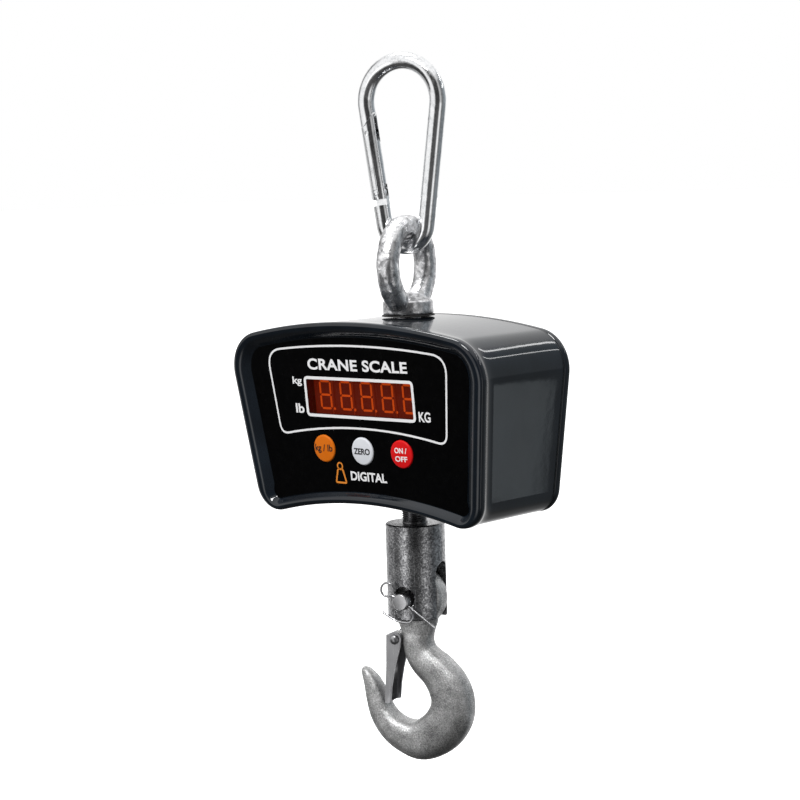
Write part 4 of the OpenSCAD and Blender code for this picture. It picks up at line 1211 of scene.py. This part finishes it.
# light levels of the room round the object, above and below eye height: (angle from the front towards
# the right, level)
room = {
    "above": [(-90, 0.16), (-74, 0.12), (-64, 0.52), (-40, 0.66), (-8, 0.62), (2, 0.50), (9, 0.08), (18, 0.03),
              (60, 0.03),
              (70, 0.30), (84, 0.34), (94, 0.12), (118, 0.14), (150, 0.24), (163, 0.26), (178, 0.62),
              (238, 0.66), (260, 0.44)],
    "below": [(-90, 0.42), (-72, 0.34), (-56, 0.03), (-27, 0.03), (-16, 0.35), (-10, 0.95), (1, 0.95),
              (8, 0.22), (18, 0.06), (58, 0.06),
              (68, 0.45), (74, 0.62), (84, 0.62), (92, 0.18), (110, 0.10), (124, 0.16), (136, 0.13),
              (150, 0.14), (160, 0.20), (166, 0.26), (178, 0.62), (238, 0.66), (260, 0.46)],
    "blueFrom": 100, "blueTo": 166, "blue": (0.90, 0.98, 1.04),
    "low": 0.04, "top": 0.66, "power": 1.6,
}


def studioWorld(r):
    world = bpy.data.worlds.new("studio")
    bpy.context.scene.world = world
    world.use_nodes = True
    n = NodeMaker(world.node_tree)
    direction = n.add("TexCoord", out="Generated")
    turn = n.add("TexGradient", {"gradient_type": "RADIAL"}, {"Vector": direction}, "Fac")

    def wall(levels):
        shades = [(a, tuple(v * c for c in (r["blue"] if r["blueFrom"] < a < r["blueTo"] else (1, 1, 1))))
                  for a, v in levels]
        return n.ramp(turn, *sorted((((a - 90) / 360 + 0.5) % 1.0, c) for a, c in shades))

    height = n.add("SeparateXYZ", None, {"Vector": direction}, "Z")
    band = n.mixed(n.spread(height, -0.09, -0.03, 0, 1, "SMOOTHSTEP"), wall(r["below"]), wall(r["above"]))
    low = n.mixed(n.spread(height, -0.75, -0.35, 0, 1, "SMOOTHSTEP"), (r["low"],) * 3, band)
    full = n.mixed(n.spread(height, 0.50, 0.80, 0, 1, "SMOOTHSTEP"), low, (r["top"],) * 3)
    lit = n.add("Background", None, {"Color": full, "Strength": r["power"]})
    plain = n.add("Background", None, {"Color": (1, 1, 1), "Strength": 1.0})
    seen = n.add("LightPath", out="Is Camera Ray")
    n.feed(n.tree.nodes["World Output"].inputs["Surface"],
           n.add("MixShader", None, {0: seen, 1: lit, 2: plain}))


studioWorld(room)
area("keyLight", (0.25, -1.5, 1.5), (0, 0, -0.25), (0.7, 0.5), 34)
area("topLight", (-0.5, 0.1, 1.3), (0, 0, -0.3), (0.6, 0.6), 16)
sideWall = Vector((0.107, -0.018, -0.235))
area("wallCard", sideWall + 2.0 * Vector((0.537, 0.796, -0.272)), sideWall, (0.14, 0.245), 0.055,
     (0.86, 0.95, 1.0), 9)
area("ceilingStripOne", sideWall + 2.0 * Vector((0.46, 0.75, 0.47)), sideWall, (1.2, 0.035), 0.9)
area("ceilingStripTwo", sideWall + 2.0 * Vector((0.26, 0.75, 0.60)), sideWall, (1.2, 0.05), 1.2)

camera = linked("camera", bpy.data.cameras.new("camera"))
az, el = radians(view["azimuth"]), radians(view["elevation"])
away = Vector((sin(az) * cos(el), -cos(az) * cos(el), sin(el)))
camera.location = centre + view["distance"] * away
look = (-away).to_track_quat("-Z", "Y")
camera.rotation_euler = (look.to_matrix().to_4x4() @ Matrix.Rotation(radians(view["roll"]), 4, "Z")).to_euler()
camera.data.lens = view["lens"]
camera.data.sensor_width = 36
camera.data.shift_x = view["shiftX"]
camera.data.shift_y = view["shiftY"]
camera.data.clip_end = 200
bpy.context.scene.camera = camera
bpy.context.scene.view_settings.view_transform = "Standard"

print("scene ready")
